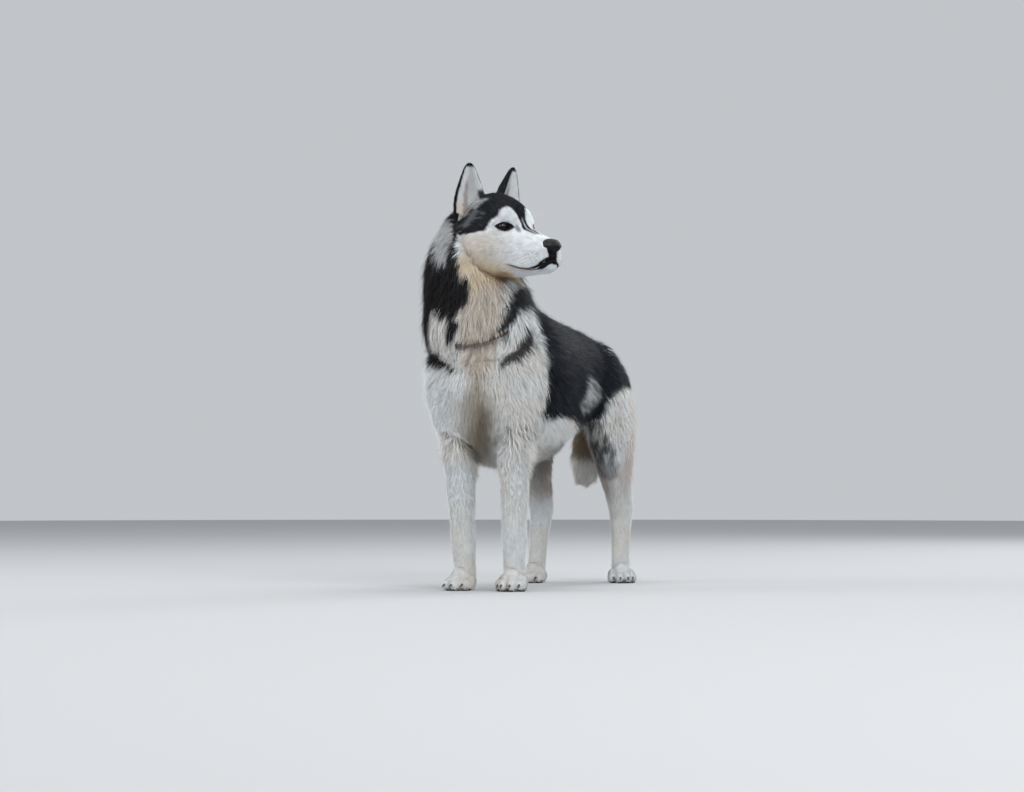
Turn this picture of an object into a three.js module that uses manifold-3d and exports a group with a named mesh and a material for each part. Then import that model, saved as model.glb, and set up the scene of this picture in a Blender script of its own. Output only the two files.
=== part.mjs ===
import * as THREE from "three";
import { mergeVertices } from "three/addons/utils/BufferGeometryUtils.js";
import Module from "manifold-3d";

// A Siberian husky, life size, standing still with its head turned to its left.
// Millimetres, +Z up, floor at Z = 0. The dog faces -Y and its left side is +X.
// The head is modelled in a frame of its own, between the eyes: +X forward, +Y left, +Z up.
// The tables give the outline out to the tips of the coat. Where the coat is long, the core of
// a node lies deeper by the depth of its locks.

// Driving sizes.
const GAP = 0.3; // kept between two nodes that touch
const HEAD_AT = [74, -37, 695]; // midway between the two eyeballs
const HEAD_TURN = 66; // degrees to the dog's left
const EYE = { radius: 12, forward: -1, side: 32 };
const COLLAR = { front: [-12, -80, 468], back: [-20, 92, 592], tall: 7, thick: 5 };
const EAR = { back: -78, side: 50, up: 20, lean: 5, turn: 16 };
const COAT = { neck: 16, chest: 16, back: 10, thigh: 13, tail: 13 }; // from outline to core
const TIP = 4; // how far the tips stand past the outline, so that the gaps between them balance
const HOCK_CUT = 205; // height at which thigh and lower leg meet

const rad = THREE.MathUtils.degToRad;
const vector = (...at) => new THREE.Vector3(...at);
const random = seededRandom(7);
const wasm = await Module();
wasm.setup();

// The same draws on every run.
function seededRandom(seed) {
  let state = seed;
  return () => {
    state = (state + 0x6d2b79f5) | 0;
    let t = Math.imul(state ^ (state >>> 15), 1 | state);
    t = (t + Math.imul(t ^ (t >>> 7), 61 | t)) ^ t;
    return ((t ^ (t >>> 14)) >>> 0) / 4294967296;
  };
}

const about = (value, spread) => value * (1 + spread * (2 * random() - 1));

// Curves and closed skins

// Catmull-Rom value of every column of a table, at a place counted in rows.
function tableAt(rows, place) {
  const i = Math.min(Math.floor(place), rows.length - 2);
  const f = place - i;
  const row = (k) => rows[THREE.MathUtils.clamp(k, 0, rows.length - 1)];
  return rows[0].map((_, c) => {
    const [a, b, d, e] = [row(i - 1)[c], row(i)[c], row(i + 1)[c], row(i + 2)[c]];
    return b + 0.5 * f * (d - a + f * (2 * a - 5 * b + 4 * d - e + f * (3 * (b - d) + e - a)));
  });
}

// A point of an oval whose corners are squarer as the power grows above 2.
function oval(angle, power) {
  const bend = (v) => Math.sign(v) * Math.abs(v) ** (2 / power);
  return [bend(Math.cos(angle)), bend(Math.sin(angle))];
}

// Rings of a table, some steps to a row, each point made by ring(values, angle).
function ringsOf(rows, steps, sides, ring) {
  return Array.from({ length: (rows.length - 1) * steps + 1 }, (_, k) => {
    const values = tableAt(rows, k / steps);
    return Array.from({ length: sides }, (_, s) => ring(values, (s / sides) * 2 * Math.PI));
  });
}

// A closed skin over the rings, each end drawn to the middle of its ring.
function skinOver(rings) {
  const sides = rings[0].length;
  const centre = (ring) => ring.reduce((sum, p) => sum.add(p), vector()).divideScalar(sides);
  const points = [centre(rings[0]), ...rings.flat(), centre(rings.at(-1))];
  const index = [];
  const at = (r, s) => 1 + r * sides + (s % sides);
  for (let s = 0; s < sides; s++) {
    index.push(0, at(0, s + 1), at(0, s));
    for (let r = 0; r < rings.length - 1; r++) {
      index.push(at(r, s), at(r, s + 1), at(r + 1, s + 1));
      index.push(at(r, s), at(r + 1, s + 1), at(r + 1, s));
    }
    index.push(points.length - 1, at(rings.length - 1, s), at(rings.length - 1, s + 1));
  }
  return new THREE.BufferGeometry().setFromPoints(points).setIndex(index);
}

// Solids

function volumeOf(position, index) {
  const corner = (i) => vector().fromBufferAttribute(position, index[i]);
  let sum = 0;
  for (let i = 0; i < index.length; i += 3) {
    sum += corner(i).dot(corner(i + 1).cross(corner(i + 2))) / 6;
  }
  return sum;
}

// A closed solid of a skin, every corner moved outward along its normal by grow.
function solid(geometry, grow = 0) {
  const bare = geometry.clone();
  bare.deleteAttribute("normal");
  bare.deleteAttribute("uv");
  const merged = mergeVertices(bare, 1e-3);
  const position = merged.getAttribute("position");
  const turned = volumeOf(position, merged.index.array) < 0;
  const index = [];
  for (let i = 0; i < merged.index.count; i += 3) {
    const [a, b, c] = merged.index.array.slice(i, i + 3);
    if (a !== b && b !== c && a !== c) index.push(...(turned ? [a, c, b] : [a, b, c]));
  }
  merged.setIndex(index);
  if (grow) {
    merged.computeVertexNormals();
    const normal = merged.getAttribute("normal");
    for (let i = 0; i < position.array.length; i++) position.array[i] += grow * normal.array[i];
  }
  const mesh = { numProp: 3, vertProperties: position.array, triVerts: Uint32Array.from(index) };
  return new wasm.Manifold(new wasm.Mesh(mesh));
}

const joined = (solids) => solids.reduce((sum, one) => sum.add(one));
const cutBy = (made, ...cutters) => cutters.reduce((left, one) => left.subtract(one), made);

// The largest closed body of a solid.
function largest(made) {
  return made.decompose().reduce((best, one) => (one.volume() > best.volume() ? one : best));
}

function geometryOf(made) {
  const mesh = made.getMesh();
  const points = new Float32Array(mesh.numVert * 3);
  for (let i = 0; i < mesh.numVert; i++) {
    points.set(mesh.vertProperties.subarray(i * mesh.numProp, i * mesh.numProp + 3), i * 3);
  }
  return new THREE.BufferGeometry()
    .setAttribute("position", new THREE.BufferAttribute(points, 3))
    .setIndex(new THREE.BufferAttribute(mesh.triVerts, 1));
}

function ellipsoid(centre, radii, across = 10, down = 7) {
  return new THREE.SphereGeometry(1, across, down).scale(...radii).translate(...centre);
}

// Everything on the far side of a plane: a large block whose near face passes through the point.
function beyond(point, direction) {
  const size = 2000;
  const block = new THREE.BoxGeometry(size, size, size).translate(0, 0, size / 2);
  const aim = new THREE.Quaternion().setFromUnitVectors(vector(0, 0, 1), direction);
  return solid(block.applyQuaternion(aim).translate(point.x, point.y, point.z));
}

const UP = vector(0, 0, 1);
const DOWN = vector(0, 0, -1);

// Torso, from the front of the chest to the rump.
// y, x, top, widest height, bottom, half width, roundness above, roundness below
const TORSO = [
  [-88, -8, 400, 400, 400, 0, 2, 2],
  [-82, -8, 440, 400, 352, 52, 2, 2],
  [-62, -8, 474, 404, 310, 100, 2.2, 2],
  [-30, -8, 516, 412, 276, 127, 2.1, 2],
  [20, -6, 550, 408, 256, 133, 1.9, 1.9],
  [80, -3, 568, 402, 250, 130, 1.8, 1.9],
  [150, 0, 558, 396, 254, 122, 1.9, 2],
  [230, 0, 542, 392, 268, 114, 2, 2],
  [310, 0, 532, 396, 292, 107, 2, 2],
  [380, 0, 524, 404, 314, 104, 2.1, 2],
  [440, 0, 508, 404, 330, 102, 2.1, 2],
  [488, 0, 480, 402, 346, 88, 2, 2],
  [516, 0, 444, 402, 366, 56, 2, 2],
  [526, 0, 402, 402, 402, 0, 2, 2],
];

// Deep on the chest, less behind the shoulder, and nothing on the belly, where the hair is short.
function torsoCoat({ y, z }) {
  const { lerp, smoothstep } = THREE.MathUtils;
  return lerp(COAT.chest, lerp(0, COAT.back, smoothstep(z, 270, 340)), smoothstep(y, 0, 130));
}

function torsoRing([y, x, top, mid, bottom, half, above, below], angle) {
  const [c, s] = oval(angle, Math.sin(angle) > 0 ? above : below);
  return vector(x + half * c, y, mid + s * (s > 0 ? top - mid : mid - bottom));
}

// Neck, from inside the chest up into the skull.
// z, x, y, half width, half depth, turn in degrees
const NECK = [
  [408, -10, 14, 0, 0, 0],
  [412, -10, 14, 84, 72, 0],
  [450, -13, 12, 108, 92, 0],
  [490, -16, 9, 117, 103, 0],
  [530, -21, 6, 113, 103, 6],
  [570, -27, 2, 107, 99, 16],
  [610, -33, -4, 99, 92, 32],
  [650, -37, -8, 87, 85, 50],
  [690, -37, -6, 67, 78, 62],
  [720, -31, -4, 47, 64, 66],
  [738, -22, -6, 24, 36, 66],
  [742, -22, -6, 0, 0, 66],
];

function neckRing([z, x, y, half, deep, turn], angle) {
  const [c, s] = [half * Math.cos(angle), deep * Math.sin(angle)];
  const [ct, st] = [Math.cos(rad(turn)), Math.sin(rad(turn))];
  return vector(x + c * ct - s * st, y + c * st + s * ct, z);
}

// Moves every corner of a skin inward by the depth of the coat at that place.
function coreOf(geometry, depthAt) {
  const merged = mergeVertices(geometry, 1e-3);
  merged.computeVertexNormals();
  const position = merged.getAttribute("position");
  const normal = merged.getAttribute("normal");
  const sign = Math.sign(volumeOf(position, merged.index.array));
  for (let i = 0; i < position.count; i++) {
    const point = vector().fromBufferAttribute(position, i);
    point.addScaledVector(vector().fromBufferAttribute(normal, i), -sign * depthAt(point));
    position.setXYZ(i, point.x, point.y, point.z);
  }
  return merged;
}

const torsoCore = coreOf(skinOver(ringsOf(TORSO, 1, 20, torsoRing)), torsoCoat);
const neckCore = coreOf(skinOver(ringsOf(NECK, 1, 18, neckRing)), () => COAT.neck);
const trunk = (grow = 0) => solid(torsoCore, grow).add(solid(neckCore, grow));

// Legs: level slices, each with its height, front and back edge and half width.
// z, inward lean, front, back, half width
const FORELEG = [
  [22, 0, 0, 0, 0],
  [24, 0, -16, 20, 20],
  [55, 0, -19, 21, 22],
  [80, 0, -20, 22, 23.5],
  [104, 0, -23, 24, 24.5],
  [130, 0, -24, 25, 24],
  [180, 0, -27, 32, 27],
  [230, 1, -32, 46, 31],
  [280, 6, -38, 62, 38],
  [330, 14, -40, 76, 46],
  [372, 20, -20, 70, 34],
  [376, 20, 20, 20, 0],
];

const HINDLEG = [
  [22, 0, 492, 492, 0],
  [24, 0, 474, 508, 18],
  [60, 0, 474, 510, 19],
  [100, 0, 475, 514, 20],
  [132, 0, 472, 524, 22],
  [152, 0, 464, 532, 23],
  [176, 1, 448, 524, 24],
  [215, 3, 420, 512, 30],
  [260, 5, 386, 514, 37],
  [305, 5, 352, 524, 43],
  [350, 2, 334, 532, 47],
  [395, -4, 334, 530, 47],
  [440, -16, 352, 515, 42],
  [478, -30, 380, 490, 30],
  [482, -30, 430, 430, 0],
];

function legRing([z, x, front, back, half], angle) {
  const [c, s] = oval(angle, 2.2);
  return vector(x + half * c, (front + back) / 2 + ((back - front) / 2) * s, z);
}

// Each leg's stance: its side, where its foot and its root stand, and how far the toes turn out.
const LEGS = [
  { end: "left", rows: FORELEG, side: 1, foot: [54, 0], root: [54, 0], toesOut: 4 },
  { end: "right", rows: FORELEG, side: -1, foot: [-48, 0], root: [-66, 0], toesOut: 16 },
  { end: "left", rows: HINDLEG, side: 1, foot: [82, 0], root: [80, -10], toesOut: 30 },
  { end: "right", rows: HINDLEG, side: -1, foot: [-80, -70], root: [-80, -20], toesOut: 10 },
];
const ROOT_HEIGHT = 330; // where a leg leaves the body

// A leg's slices, leaning from its root to its foot.
function legRows({ rows, side, foot, root }) {
  return rows.map(([z, lean, front, back, half]) => {
    const up = Math.min(z / ROOT_HEIGHT, 1);
    const x = THREE.MathUtils.lerp(foot[0], root[0], up) + side * lean;
    const y = THREE.MathUtils.lerp(foot[1], root[1], up);
    return [z, x, front + y, back + y, half];
  });
}

// The back of the thigh carries the long hair of the breeches.
const BREECHES = { low: 190, high: 250 };

function legCore(leg) {
  const rows = legRows(leg);
  const shape = skinOver(ringsOf(rows, 1, 12, legRing));
  if (leg.rows === FORELEG) return shape;
  return coreOf(shape, ({ y, z }) => {
    const { front, back } = edgesAt(rows, z);
    const rear = THREE.MathUtils.smoothstep(y, (front + back) / 2, back);
    return COAT.thigh * rear * THREE.MathUtils.smoothstep(z, BREECHES.low, BREECHES.high);
  });
}

function edgesAt(rows, z) {
  const above = rows.findIndex((row) => row[0] >= z - 0.01);
  return { front: rows[Math.max(above, 1)][2], back: rows[Math.max(above, 1)][3] };
}

// Paw: a rounded foot and four toes with claws, all flat where they stand.
const TOES = [
  { side: -23, ahead: 16, up: 13, radii: [11.5, 20, 15] },
  { side: -9.5, ahead: 31, up: 13.5, radii: [11.5, 22, 16] },
  { side: 9.5, ahead: 31, up: 13.5, radii: [11.5, 22, 16] },
  { side: 23, ahead: 16, up: 13, radii: [11.5, 20, 15] },
];
const CLAW = { length: 16, radius: 3.2, droop: 24, up: 12 };

function claw({ side, ahead, radii }) {
  return new THREE.ConeGeometry(CLAW.radius, CLAW.length, 3, 1)
    .rotateX(rad(90 + CLAW.droop))
    .translate(side, -(ahead + radii[1] + 1), CLAW.up);
}

const floorBlock = beyond(vector(0, 0, 0), DOWN);

// The foot stands under the lowest slice of its leg. A hind foot is a little smaller.
function legSolid(leg, grow = 0) {
  const [, x, front, back] = legRows(leg)[1];
  const size = leg.rows === FORELEG ? 1 : 0.94;
  const foot = [
    ellipsoid([0, 6, 24], [25, 32, 26], 9, 6),
    ...TOES.map((toe) => ellipsoid([toe.side, -toe.ahead, toe.up], toe.radii, 6, 5)),
    ...TOES.map(claw),
  ];
  const standing = foot.map((shape) =>
    shape
      .scale(size, size, size)
      .rotateZ(leg.side * rad(leg.toesOut))
      .translate(x, (front + back) / 2, 0),
  );
  const shapes = [legCore(leg), ...standing];
  return joined(shapes.map((shape) => solid(shape, grow))).subtract(floorBlock);
}

// Tail, from the croup down to its tip.
// x, y, z, half width, half depth, depth of the locks
const TAIL = [
  [0, 480, 450, 0, 0, 0],
  [0, 490, 446, 26, 22, 0],
  [-2, 536, 430, 32, 28, 8],
  [-8, 570, 392, 37, 34, COAT.tail],
  [-16, 582, 340, 39, 37, COAT.tail],
  [-24, 582, 286, 39, 37, COAT.tail],
  [-30, 577, 236, 33, 32, COAT.tail],
  [-33, 572, 200, 20, 20, 12],
  [-34, 570, 184, 0, 0, 0],
];

function tailRings() {
  return TAIL.map(([x, y, z, half, deep, coat], k) => {
    const row = (i) => vector(...TAIL[THREE.MathUtils.clamp(i, 0, TAIL.length - 1)].slice(0, 3));
    const side = vector(1, 0, 0);
    const back = vector().crossVectors(row(k + 1).sub(row(k - 1)), side).normalize();
    return Array.from({ length: 10 }, (_, s) => {
      const angle = (s / 10) * 2 * Math.PI;
      return vector(x, y, z)
        .addScaledVector(side, (half - coat) * Math.cos(angle))
        .addScaledVector(back, (deep - coat) * Math.sin(angle));
    });
  });
}

// Frame of the head
const headPose = new THREE.Object3D();
headPose.position.set(...HEAD_AT);
headPose.rotation.z = rad(HEAD_TURN - 90);
headPose.updateMatrixWorld(true);
const onHead = (geometry) => geometry.applyMatrix4(headPose.matrixWorld);

// Head: cross-sections from the back of the skull to the front of the muzzle.
// x, top, widest height, bottom, half width, roundness above, roundness below
const HEAD = [
  [-116, 0, 0, 0, 0, 2, 2],
  [-110, 40, -8, -50, 46, 2, 2],
  [-92, 64, -16, -84, 68, 2, 2],
  [-68, 72, -22, -98, 76, 2, 2],
  [-45, 72, -28, -100, 76, 2, 2],
  [-22, 66, -34, -98, 70, 2, 2.1],
  [-4, 56, -38, -96, 60, 2.1, 2.2],
  [10, 40, -40, -95, 52, 2.2, 2.3],
  [20, 20, -42, -95, 46, 2.1, 2.4],
  [32, 0, -46, -95, 40, 2.1, 2.5],
  [54, -11, -50, -95, 36, 2.3, 2.6],
  [76, -20, -56, -95, 33, 2.4, 2.6],
  [91, -28, -58, -89, 28, 2.4, 2.4],
  [99, -36, -60, -82, 20, 2.2, 2.2],
  [103, -60, -60, -60, 0, 2, 2],
];

// Soft rises and hollows of the head, on both sides: x, y, z, reach and height.
const HEAD_FORMS = [
  [4, 26, 26, 15, 3], // brow
  [12, 24, -6, 13, -5], // hollow before the eye
  [-34, 62, 14, 22, -4], // temple
  [-14, 56, -30, 24, 3], // cheek bone
  [84, 24, -64, 18, 3.5], // whisker pad
  [92, 8, -86, 14, 2], // chin
  [30, 40, -78, 22, -2.5], // behind the lips
  [-20, 0, 60, 16, -2.5], // furrow of the forehead
];

function headRing([x, top, mid, bottom, half, above, below], angle) {
  const [c, s] = oval(angle, Math.sin(angle) > 0 ? above : below);
  const point = vector(x, half * c, mid + s * (s > 0 ? top - mid : mid - bottom));
  const rise = HEAD_FORMS.reduce((sum, [fx, fy, fz, reach, height]) => {
    const away = vector(fx, Math.sign(point.y) * fy, fz).distanceToSquared(point);
    return sum + height * Math.exp(-away / reach ** 2);
  }, 0);
  const outward = vector(0.15, Math.cos(angle), Math.sin(angle)).normalize();
  return point.addScaledVector(outward, rise);
}

const headShape = () => onHead(skinOver(ringsOf(HEAD, 2, 24, headRing)));

// The point of the head's skin on one side at a given place and height, found by halving.
function onHeadSkin(x, z, side) {
  const search = (low, high, short) => {
    for (let k = 0; k < 24; k++) {
      const middle = (low + high) / 2;
      if (short(middle)) low = middle;
      else high = middle;
    }
    return low;
  };
  const values = tableAt(HEAD, search(1, HEAD.length - 1, (place) => tableAt(HEAD, place)[0] < x));
  const angle = search(-Math.PI / 2, Math.PI / 2, (turn) => headRing(values, turn).z < z);
  const point = headRing(values, angle);
  return vector(point.x, side * point.y, point.z);
}

// Eyes: each a ball in a socket, under two lids that leave an almond open.
const EYE_OUT = 36; // degrees that each eye looks to its side
const LID = { cover: 2, length: 32, height: 17, tilt: 17 };

const eyeBall = (side, cover = 0) =>
  new THREE.SphereGeometry(EYE.radius + cover, 14, 10)
    .rotateX(rad(90))
    .translate(EYE.forward, side * EYE.side, 0);

// The opening between the lids, cut along the line in which the eye looks.
function almond(side) {
  const { length, height, tilt } = LID;
  const outline = new THREE.Shape();
  outline.moveTo(-length / 2, 0);
  outline.quadraticCurveTo(0, height, length / 2, 0);
  outline.quadraticCurveTo(0, -height, -length / 2, 0);
  return new THREE.ExtrudeGeometry(outline, { depth: 40, bevelEnabled: false, curveSegments: 3 })
    .rotateZ(side * rad(tilt))
    .rotateX(rad(90))
    .rotateZ(rad(90 + side * EYE_OUT))
    .translate(EYE.forward, side * EYE.side, 0);
}

// Mouth: a groove along the lips, from one corner round the front to the other.
// x, z
const LIPS = [
  [2, -72],
  [16, -77],
  [38, -83],
  [60, -84],
  [80, -80],
  [92, -74],
];
const LIP_FRONT = [102, 0, -70];
const LIP_GROOVE = 2.2; // radius

function mouthGroove() {
  const line = (side) => LIPS.map(([x, z]) => onHeadSkin(x, z, side));
  const route = [...line(1), vector(...LIP_FRONT), ...line(-1).reverse()];
  const corners = [0, 90, 180, 270].map((turn) => {
    return new THREE.Vector2(LIP_GROOVE, 0).rotateAround(new THREE.Vector2(), rad(turn));
  });
  return new THREE.ExtrudeGeometry(new THREE.Shape(corners), {
    steps: 17,
    extrudePath: new THREE.CatmullRomCurve3(route),
  });
}

// Nose: the bare leather at the front of the muzzle, narrower below, with two nostrils.
const NOSE = { at: [100, 0, -45], radii: [15.5, 18, 16] };

function noseShape() {
  const shape = new THREE.SphereGeometry(1, 12, 9).scale(...NOSE.radii);
  const position = shape.getAttribute("position");
  for (let i = 0; i < position.count; i++) {
    const low = Math.max(-position.getZ(i) / NOSE.radii[2], 0);
    position.setX(i, position.getX(i) - 3 * low);
    position.setY(i, position.getY(i) * (1 - 0.35 * low));
  }
  return shape.translate(...NOSE.at);
}

const nostril = (side) =>
  ellipsoid([0, 0, 0], [7, 3.2, 3.8], 6, 5)
    .rotateZ(side * rad(38))
    .translate(NOSE.at[0] + 12, side * 8.5, NOSE.at[2] + 1);

// Ear: a cupped, rounded triangle. A ring runs over the hollow front and back over the rear.
// height, half width, thickness, depth of the cup
const EAR_ROWS = [
  [-12, 26, 9, 14],
  [8, 34, 8, 17],
  [28, 34.5, 7, 16],
  [50, 29, 6, 13],
  [72, 20.5, 5, 8],
  [92, 11, 4, 4],
  [104, 3, 3, 1],
];
const EAR_ACROSS = 7;

function earShape(side) {
  const span = Array.from({ length: EAR_ACROSS + 1 }, (_, i) => (2 * i) / EAR_ACROSS - 1);
  const rings = EAR_ROWS.map(([up, half, thick, cup]) => {
    const front = (s) => vector(6 - cup * (1 - s * s), s * half, up);
    const rear = (s) => front(s).sub(vector(thick * Math.sqrt(1 - 0.8 * s * s), 0, 0));
    return [...span.map(front), ...span.toReversed().map(rear)];
  });
  return skinOver(rings)
    .rotateX(-side * rad(EAR.lean))
    .rotateZ(side * rad(EAR.turn))
    .translate(EAR.back, side * EAR.side, EAR.up);
}

// Locks of the coat
// A lock is three-sided, flat below and ridged above. It starts inside the core, follows the
// skin under it along the lie of the coat, and rises to a pointed tip at the coat's outline.

// length, width, thickness, height of the tip above the core, depth of the root in it
const LOCKS = {
  neck: { length: 104, width: 50, thick: 10, lift: COAT.neck + TIP, sunk: 9 },
  chest: { length: 104, width: 52, thick: 10, lift: COAT.chest + TIP, sunk: 9 },
  fringe: { length: 92, width: 50, thick: 10, lift: COAT.chest + TIP, sunk: 9 },
  back: { length: 132, width: 80, thick: 9, lift: COAT.back + TIP, sunk: 8 },
  rump: { length: 76, width: 62, thick: 9, lift: COAT.back, sunk: 8 },
  thigh: { length: 92, width: 34, thick: 9, lift: COAT.thigh + TIP, sunk: 8 },
  tail: { length: 104, width: 28, thick: 9, lift: COAT.tail + TIP, sunk: 7 },
};

const caster = new THREE.Raycaster();

// Where a line first meets a skin, and which way the skin faces there.
function meets(skin, from, direction) {
  caster.set(from, direction);
  const hit = caster.intersectObject(skin, false)[0];
  return hit && { point: hit.point, normal: hit.normal.normalize() };
}

function skinOf(made) {
  const geometry = geometryOf(made);
  geometry.computeVertexNormals();
  return new THREE.Mesh(geometry);
}

const LOCK_STEPS = [0, 0.3, 0.66, 1]; // share of the length
const LOCK_WIDTHS = [0.6, 1, 0.75, 0]; // share of the width
const LOCK_RISE = [0, 0.4, 0.72, 1]; // share of the lift
const SEEK = 60; // how far above the skin a step looks down for it

// The middle line of a lock: at each step a point above the skin and the skin's direction.
function spineOf(skin, root, lie, { length, lift, sunk }, sway) {
  let { point, normal } = root;
  return LOCK_STEPS.map((step, k) => {
    if (k > 0) {
      const run = lie(point).add(vector(sway, -sway, 0)).projectOnPlane(normal).normalize();
      const ahead = point.clone().addScaledVector(run, length * (step - LOCK_STEPS[k - 1]));
      const from = ahead.clone().addScaledVector(normal, SEEK);
      const found = meets(skin, from, normal.clone().negate());
      const near = found && found.point.distanceTo(ahead) < SEEK / 2;
      point = near ? found.point : ahead;
      normal = near ? normal.clone().lerp(found.normal, 0.7).normalize() : normal;
    }
    const rise = k === 0 ? -sunk : lift * LOCK_RISE[k];
    return { centre: point.clone().addScaledVector(normal, rise), normal };
  });
}

// With room, both sloping faces and the flat one move outward by it, so the thin edges move most.
const EDGE_ROOM = 6; // sideways shift of an edge for each millimetre of room

function lockShape(spine, { width, thick }, room) {
  const last = spine.length - 1;
  const rings = spine.map(({ centre, normal }, k) => {
    const run = spine[Math.min(k + 1, last)].centre.clone().sub(spine[Math.max(k - 1, 0)].centre);
    const side = vector().crossVectors(normal, run).normalize();
    const half = (width / 2) * LOCK_WIDTHS[k] + EDGE_ROOM * room;
    const tall = thick * Math.sqrt(LOCK_WIDTHS[k]);
    const middle = centre.clone().addScaledVector(run.normalize(), k === last ? 3 * room : 0);
    const low = middle.clone().addScaledVector(normal, -tall * 0.35 - room);
    const ridge = middle.addScaledVector(normal, tall * 0.65 + room);
    return [low.clone().addScaledVector(side, -half), low.addScaledVector(side, half), ridge];
  });
  return skinOver(rings);
}

// All locks of a node as one solid, in their own size or with room around them for a cut.
function locksOf(rows, room = 0) {
  return joined(rows.map(({ spine, look }) => solid(lockShape(spine, look, room))));
}

// A lock of a kind, varied a little, where a line from outside first meets the skin.
function lockAt(skin, from, toward, lie, kind) {
  const size = 1 - 0.18 * random();
  const look = { ...LOCKS[kind], length: LOCKS[kind].length * about(0.95, 0.12) };
  look.lift *= size;
  look.width *= about(1, 0.1);
  const root = meets(skin, from, toward);
  return root && { spine: spineOf(skin, root, lie, look, 0.24 * (random() - 0.5)), look };
}

// A tier of locks round a middle, between two angles in degrees, in the plane of two axes.
function tier(skin, middle, [across, other], [start, end], count, lie, kind, shift = 0) {
  return Array.from({ length: count }, (_, k) => {
    const share = (k + 0.5 + shift + 0.3 * (random() - 0.5)) / count;
    const turn = rad(THREE.MathUtils.lerp(start, end, share));
    const outward = across.clone().multiplyScalar(Math.cos(turn));
    outward.addScaledVector(other, Math.sin(turn)).normalize();
    const from = vector(...middle).addScaledVector(outward, OUTSIDE);
    return lockAt(skin, from, outward.negate(), lie, kind);
  }).filter(Boolean);
}

const OUTSIDE = 400; // from here a line towards the middle starts clear of the body
const LEVEL = [vector(1, 0, 0), vector(0, 1, 0)];
const UPRIGHT = [vector(1, 0, 0), UP];
const askew = (k) => (k % 2 ? 0.5 : 0); // every second tier is half a lock further round

// Neck: tiers from under the head down to the collar, hanging and fanned a little outward.
// height, locks
const NECK_TIERS = [
  [678, 5],
  [636, 6],
  [594, 7],
  [552, 8],
  [510, 8],
];
const trunkSkin = skinOf(trunk());
const neckLocks = NECK_TIERS.flatMap(([z, count], k) => {
  const row = NECK.findIndex((values) => values[0] >= z);
  const [, x, y] = NECK[row];
  const lie = (point) => vector((point.x - x) / 300, (point.y - y) / 300 + 0.15, -1);
  return tier(trunkSkin, [x, y, z], LEVEL, [0, 360], count, lie, "neck", askew(k));
});

// Chest: tiers down its front, hanging, from shoulder to shoulder.
// height, locks, half the angle that they span
const CHEST_TIERS = [
  [474, 6, 96],
  [420, 7, 92],
  [364, 6, 80],
  [314, 3, 54],
];
const CHEST_MIDDLE = [-8, 40];
const chestLie = ({ x }) => vector((x - CHEST_MIDDLE[0]) / 500, 0.1, -1);
const chestLocks = CHEST_TIERS.flatMap(([z, count, half], k) => {
  const span = [-90 - half, -90 + half];
  const middle = [...CHEST_MIDDLE, z];
  return tier(trunkSkin, middle, LEVEL, span, count, chestLie, "chest", 0.5 * askew(k));
});

// Torso: tiers across the back and down both flanks, lying backward and down.
// distance, locks, kind
const BACK_TIERS = [
  [74, 6, "fringe"],
  [134, 6, "fringe"],
  [210, 5, "back"],
  [296, 5, "back"],
  [378, 4, "back"],
  [446, 4, "rump"],
];
const sideways = (x) => THREE.MathUtils.clamp(Math.abs(x) / 110, 0, 1);
const backLie = ({ x }) => vector(0, 1, -0.75 * sideways(x));
const backLocks = BACK_TIERS.flatMap(([y, count, kind], k) =>
  tier(trunkSkin, [0, y, 400], UPRIGHT, [-38, 218], count, backLie, kind, 0.5 * askew(k)),
);

// Breeches: tiers down the back of each thigh.
const THIGH_TIERS = [430, 376, 322, 272];
const thighLie = () => vector(0, 0.35, -1);
function thighLocks(leg) {
  const rows = legRows(leg);
  const skin = skinOf(solid(legCore(leg)));
  return THIGH_TIERS.flatMap((z, k) => {
    const { front, back } = edgesAt(rows, z);
    const middle = [rows.find((row) => row[0] >= z)[1], (front + back) / 2 + 10, z];
    return tier(skin, middle, LEVEL, [12, 168], 3, thighLie, "thigh", 0.5 * askew(k));
  });
}

// Tail: tiers from its root to its tip, the last of them closing to a brush.
// height, locks
const TAIL_TIERS = [
  [410, 4],
  [356, 4],
  [300, 5],
  [244, 5],
];
const tailCore = () => skinOver(tailRings());
function tailLocks() {
  const skin = skinOf(solid(tailCore()));
  const tip = vector(...TAIL.at(-1).slice(0, 3));
  const lie = (point) => tip.clone().sub(point).multiply(vector(0.2, 0.2, 1)).add(vector(0, 0, -60));
  return TAIL_TIERS.flatMap(([z, count], k) => {
    const row = TAIL.findIndex((values) => values[2] <= z);
    const share = (TAIL[row - 1][2] - z) / (TAIL[row - 1][2] - TAIL[row][2]);
    const x = THREE.MathUtils.lerp(TAIL[row - 1][0], TAIL[row][0], share);
    const y = THREE.MathUtils.lerp(TAIL[row - 1][1], TAIL[row][1], share);
    return tier(skin, [x, y, z], LEVEL, [0, 360], count, lie, "tail", askew(k));
  });
}

// Assembly: what comes first keeps its shape, and what comes later is cut clear of it.

const eyes = [1, -1].map((side) => solid(onHead(eyeBall(side))));
const lids = (grow) => [1, -1].map((side) => solid(onHead(eyeBall(side, LID.cover)), grow));
const skull = (grow = 0) => joined([solid(headShape(), grow), ...lids(grow)]);
const headSolid = largest(
  cutBy(
    skull(),
    ...[1, -1].map((side) => solid(onHead(eyeBall(side, GAP)))),
    ...[1, -1].map((side) => solid(onHead(almond(side)))),
    solid(onHead(noseShape()), GAP),
    solid(onHead(mouthGroove())),
  ),
);
const noseSolid = cutBy(
  solid(onHead(noseShape())),
  ...[1, -1].map((side) => solid(onHead(nostril(side)))),
);
const headRoom = skull(GAP);

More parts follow.
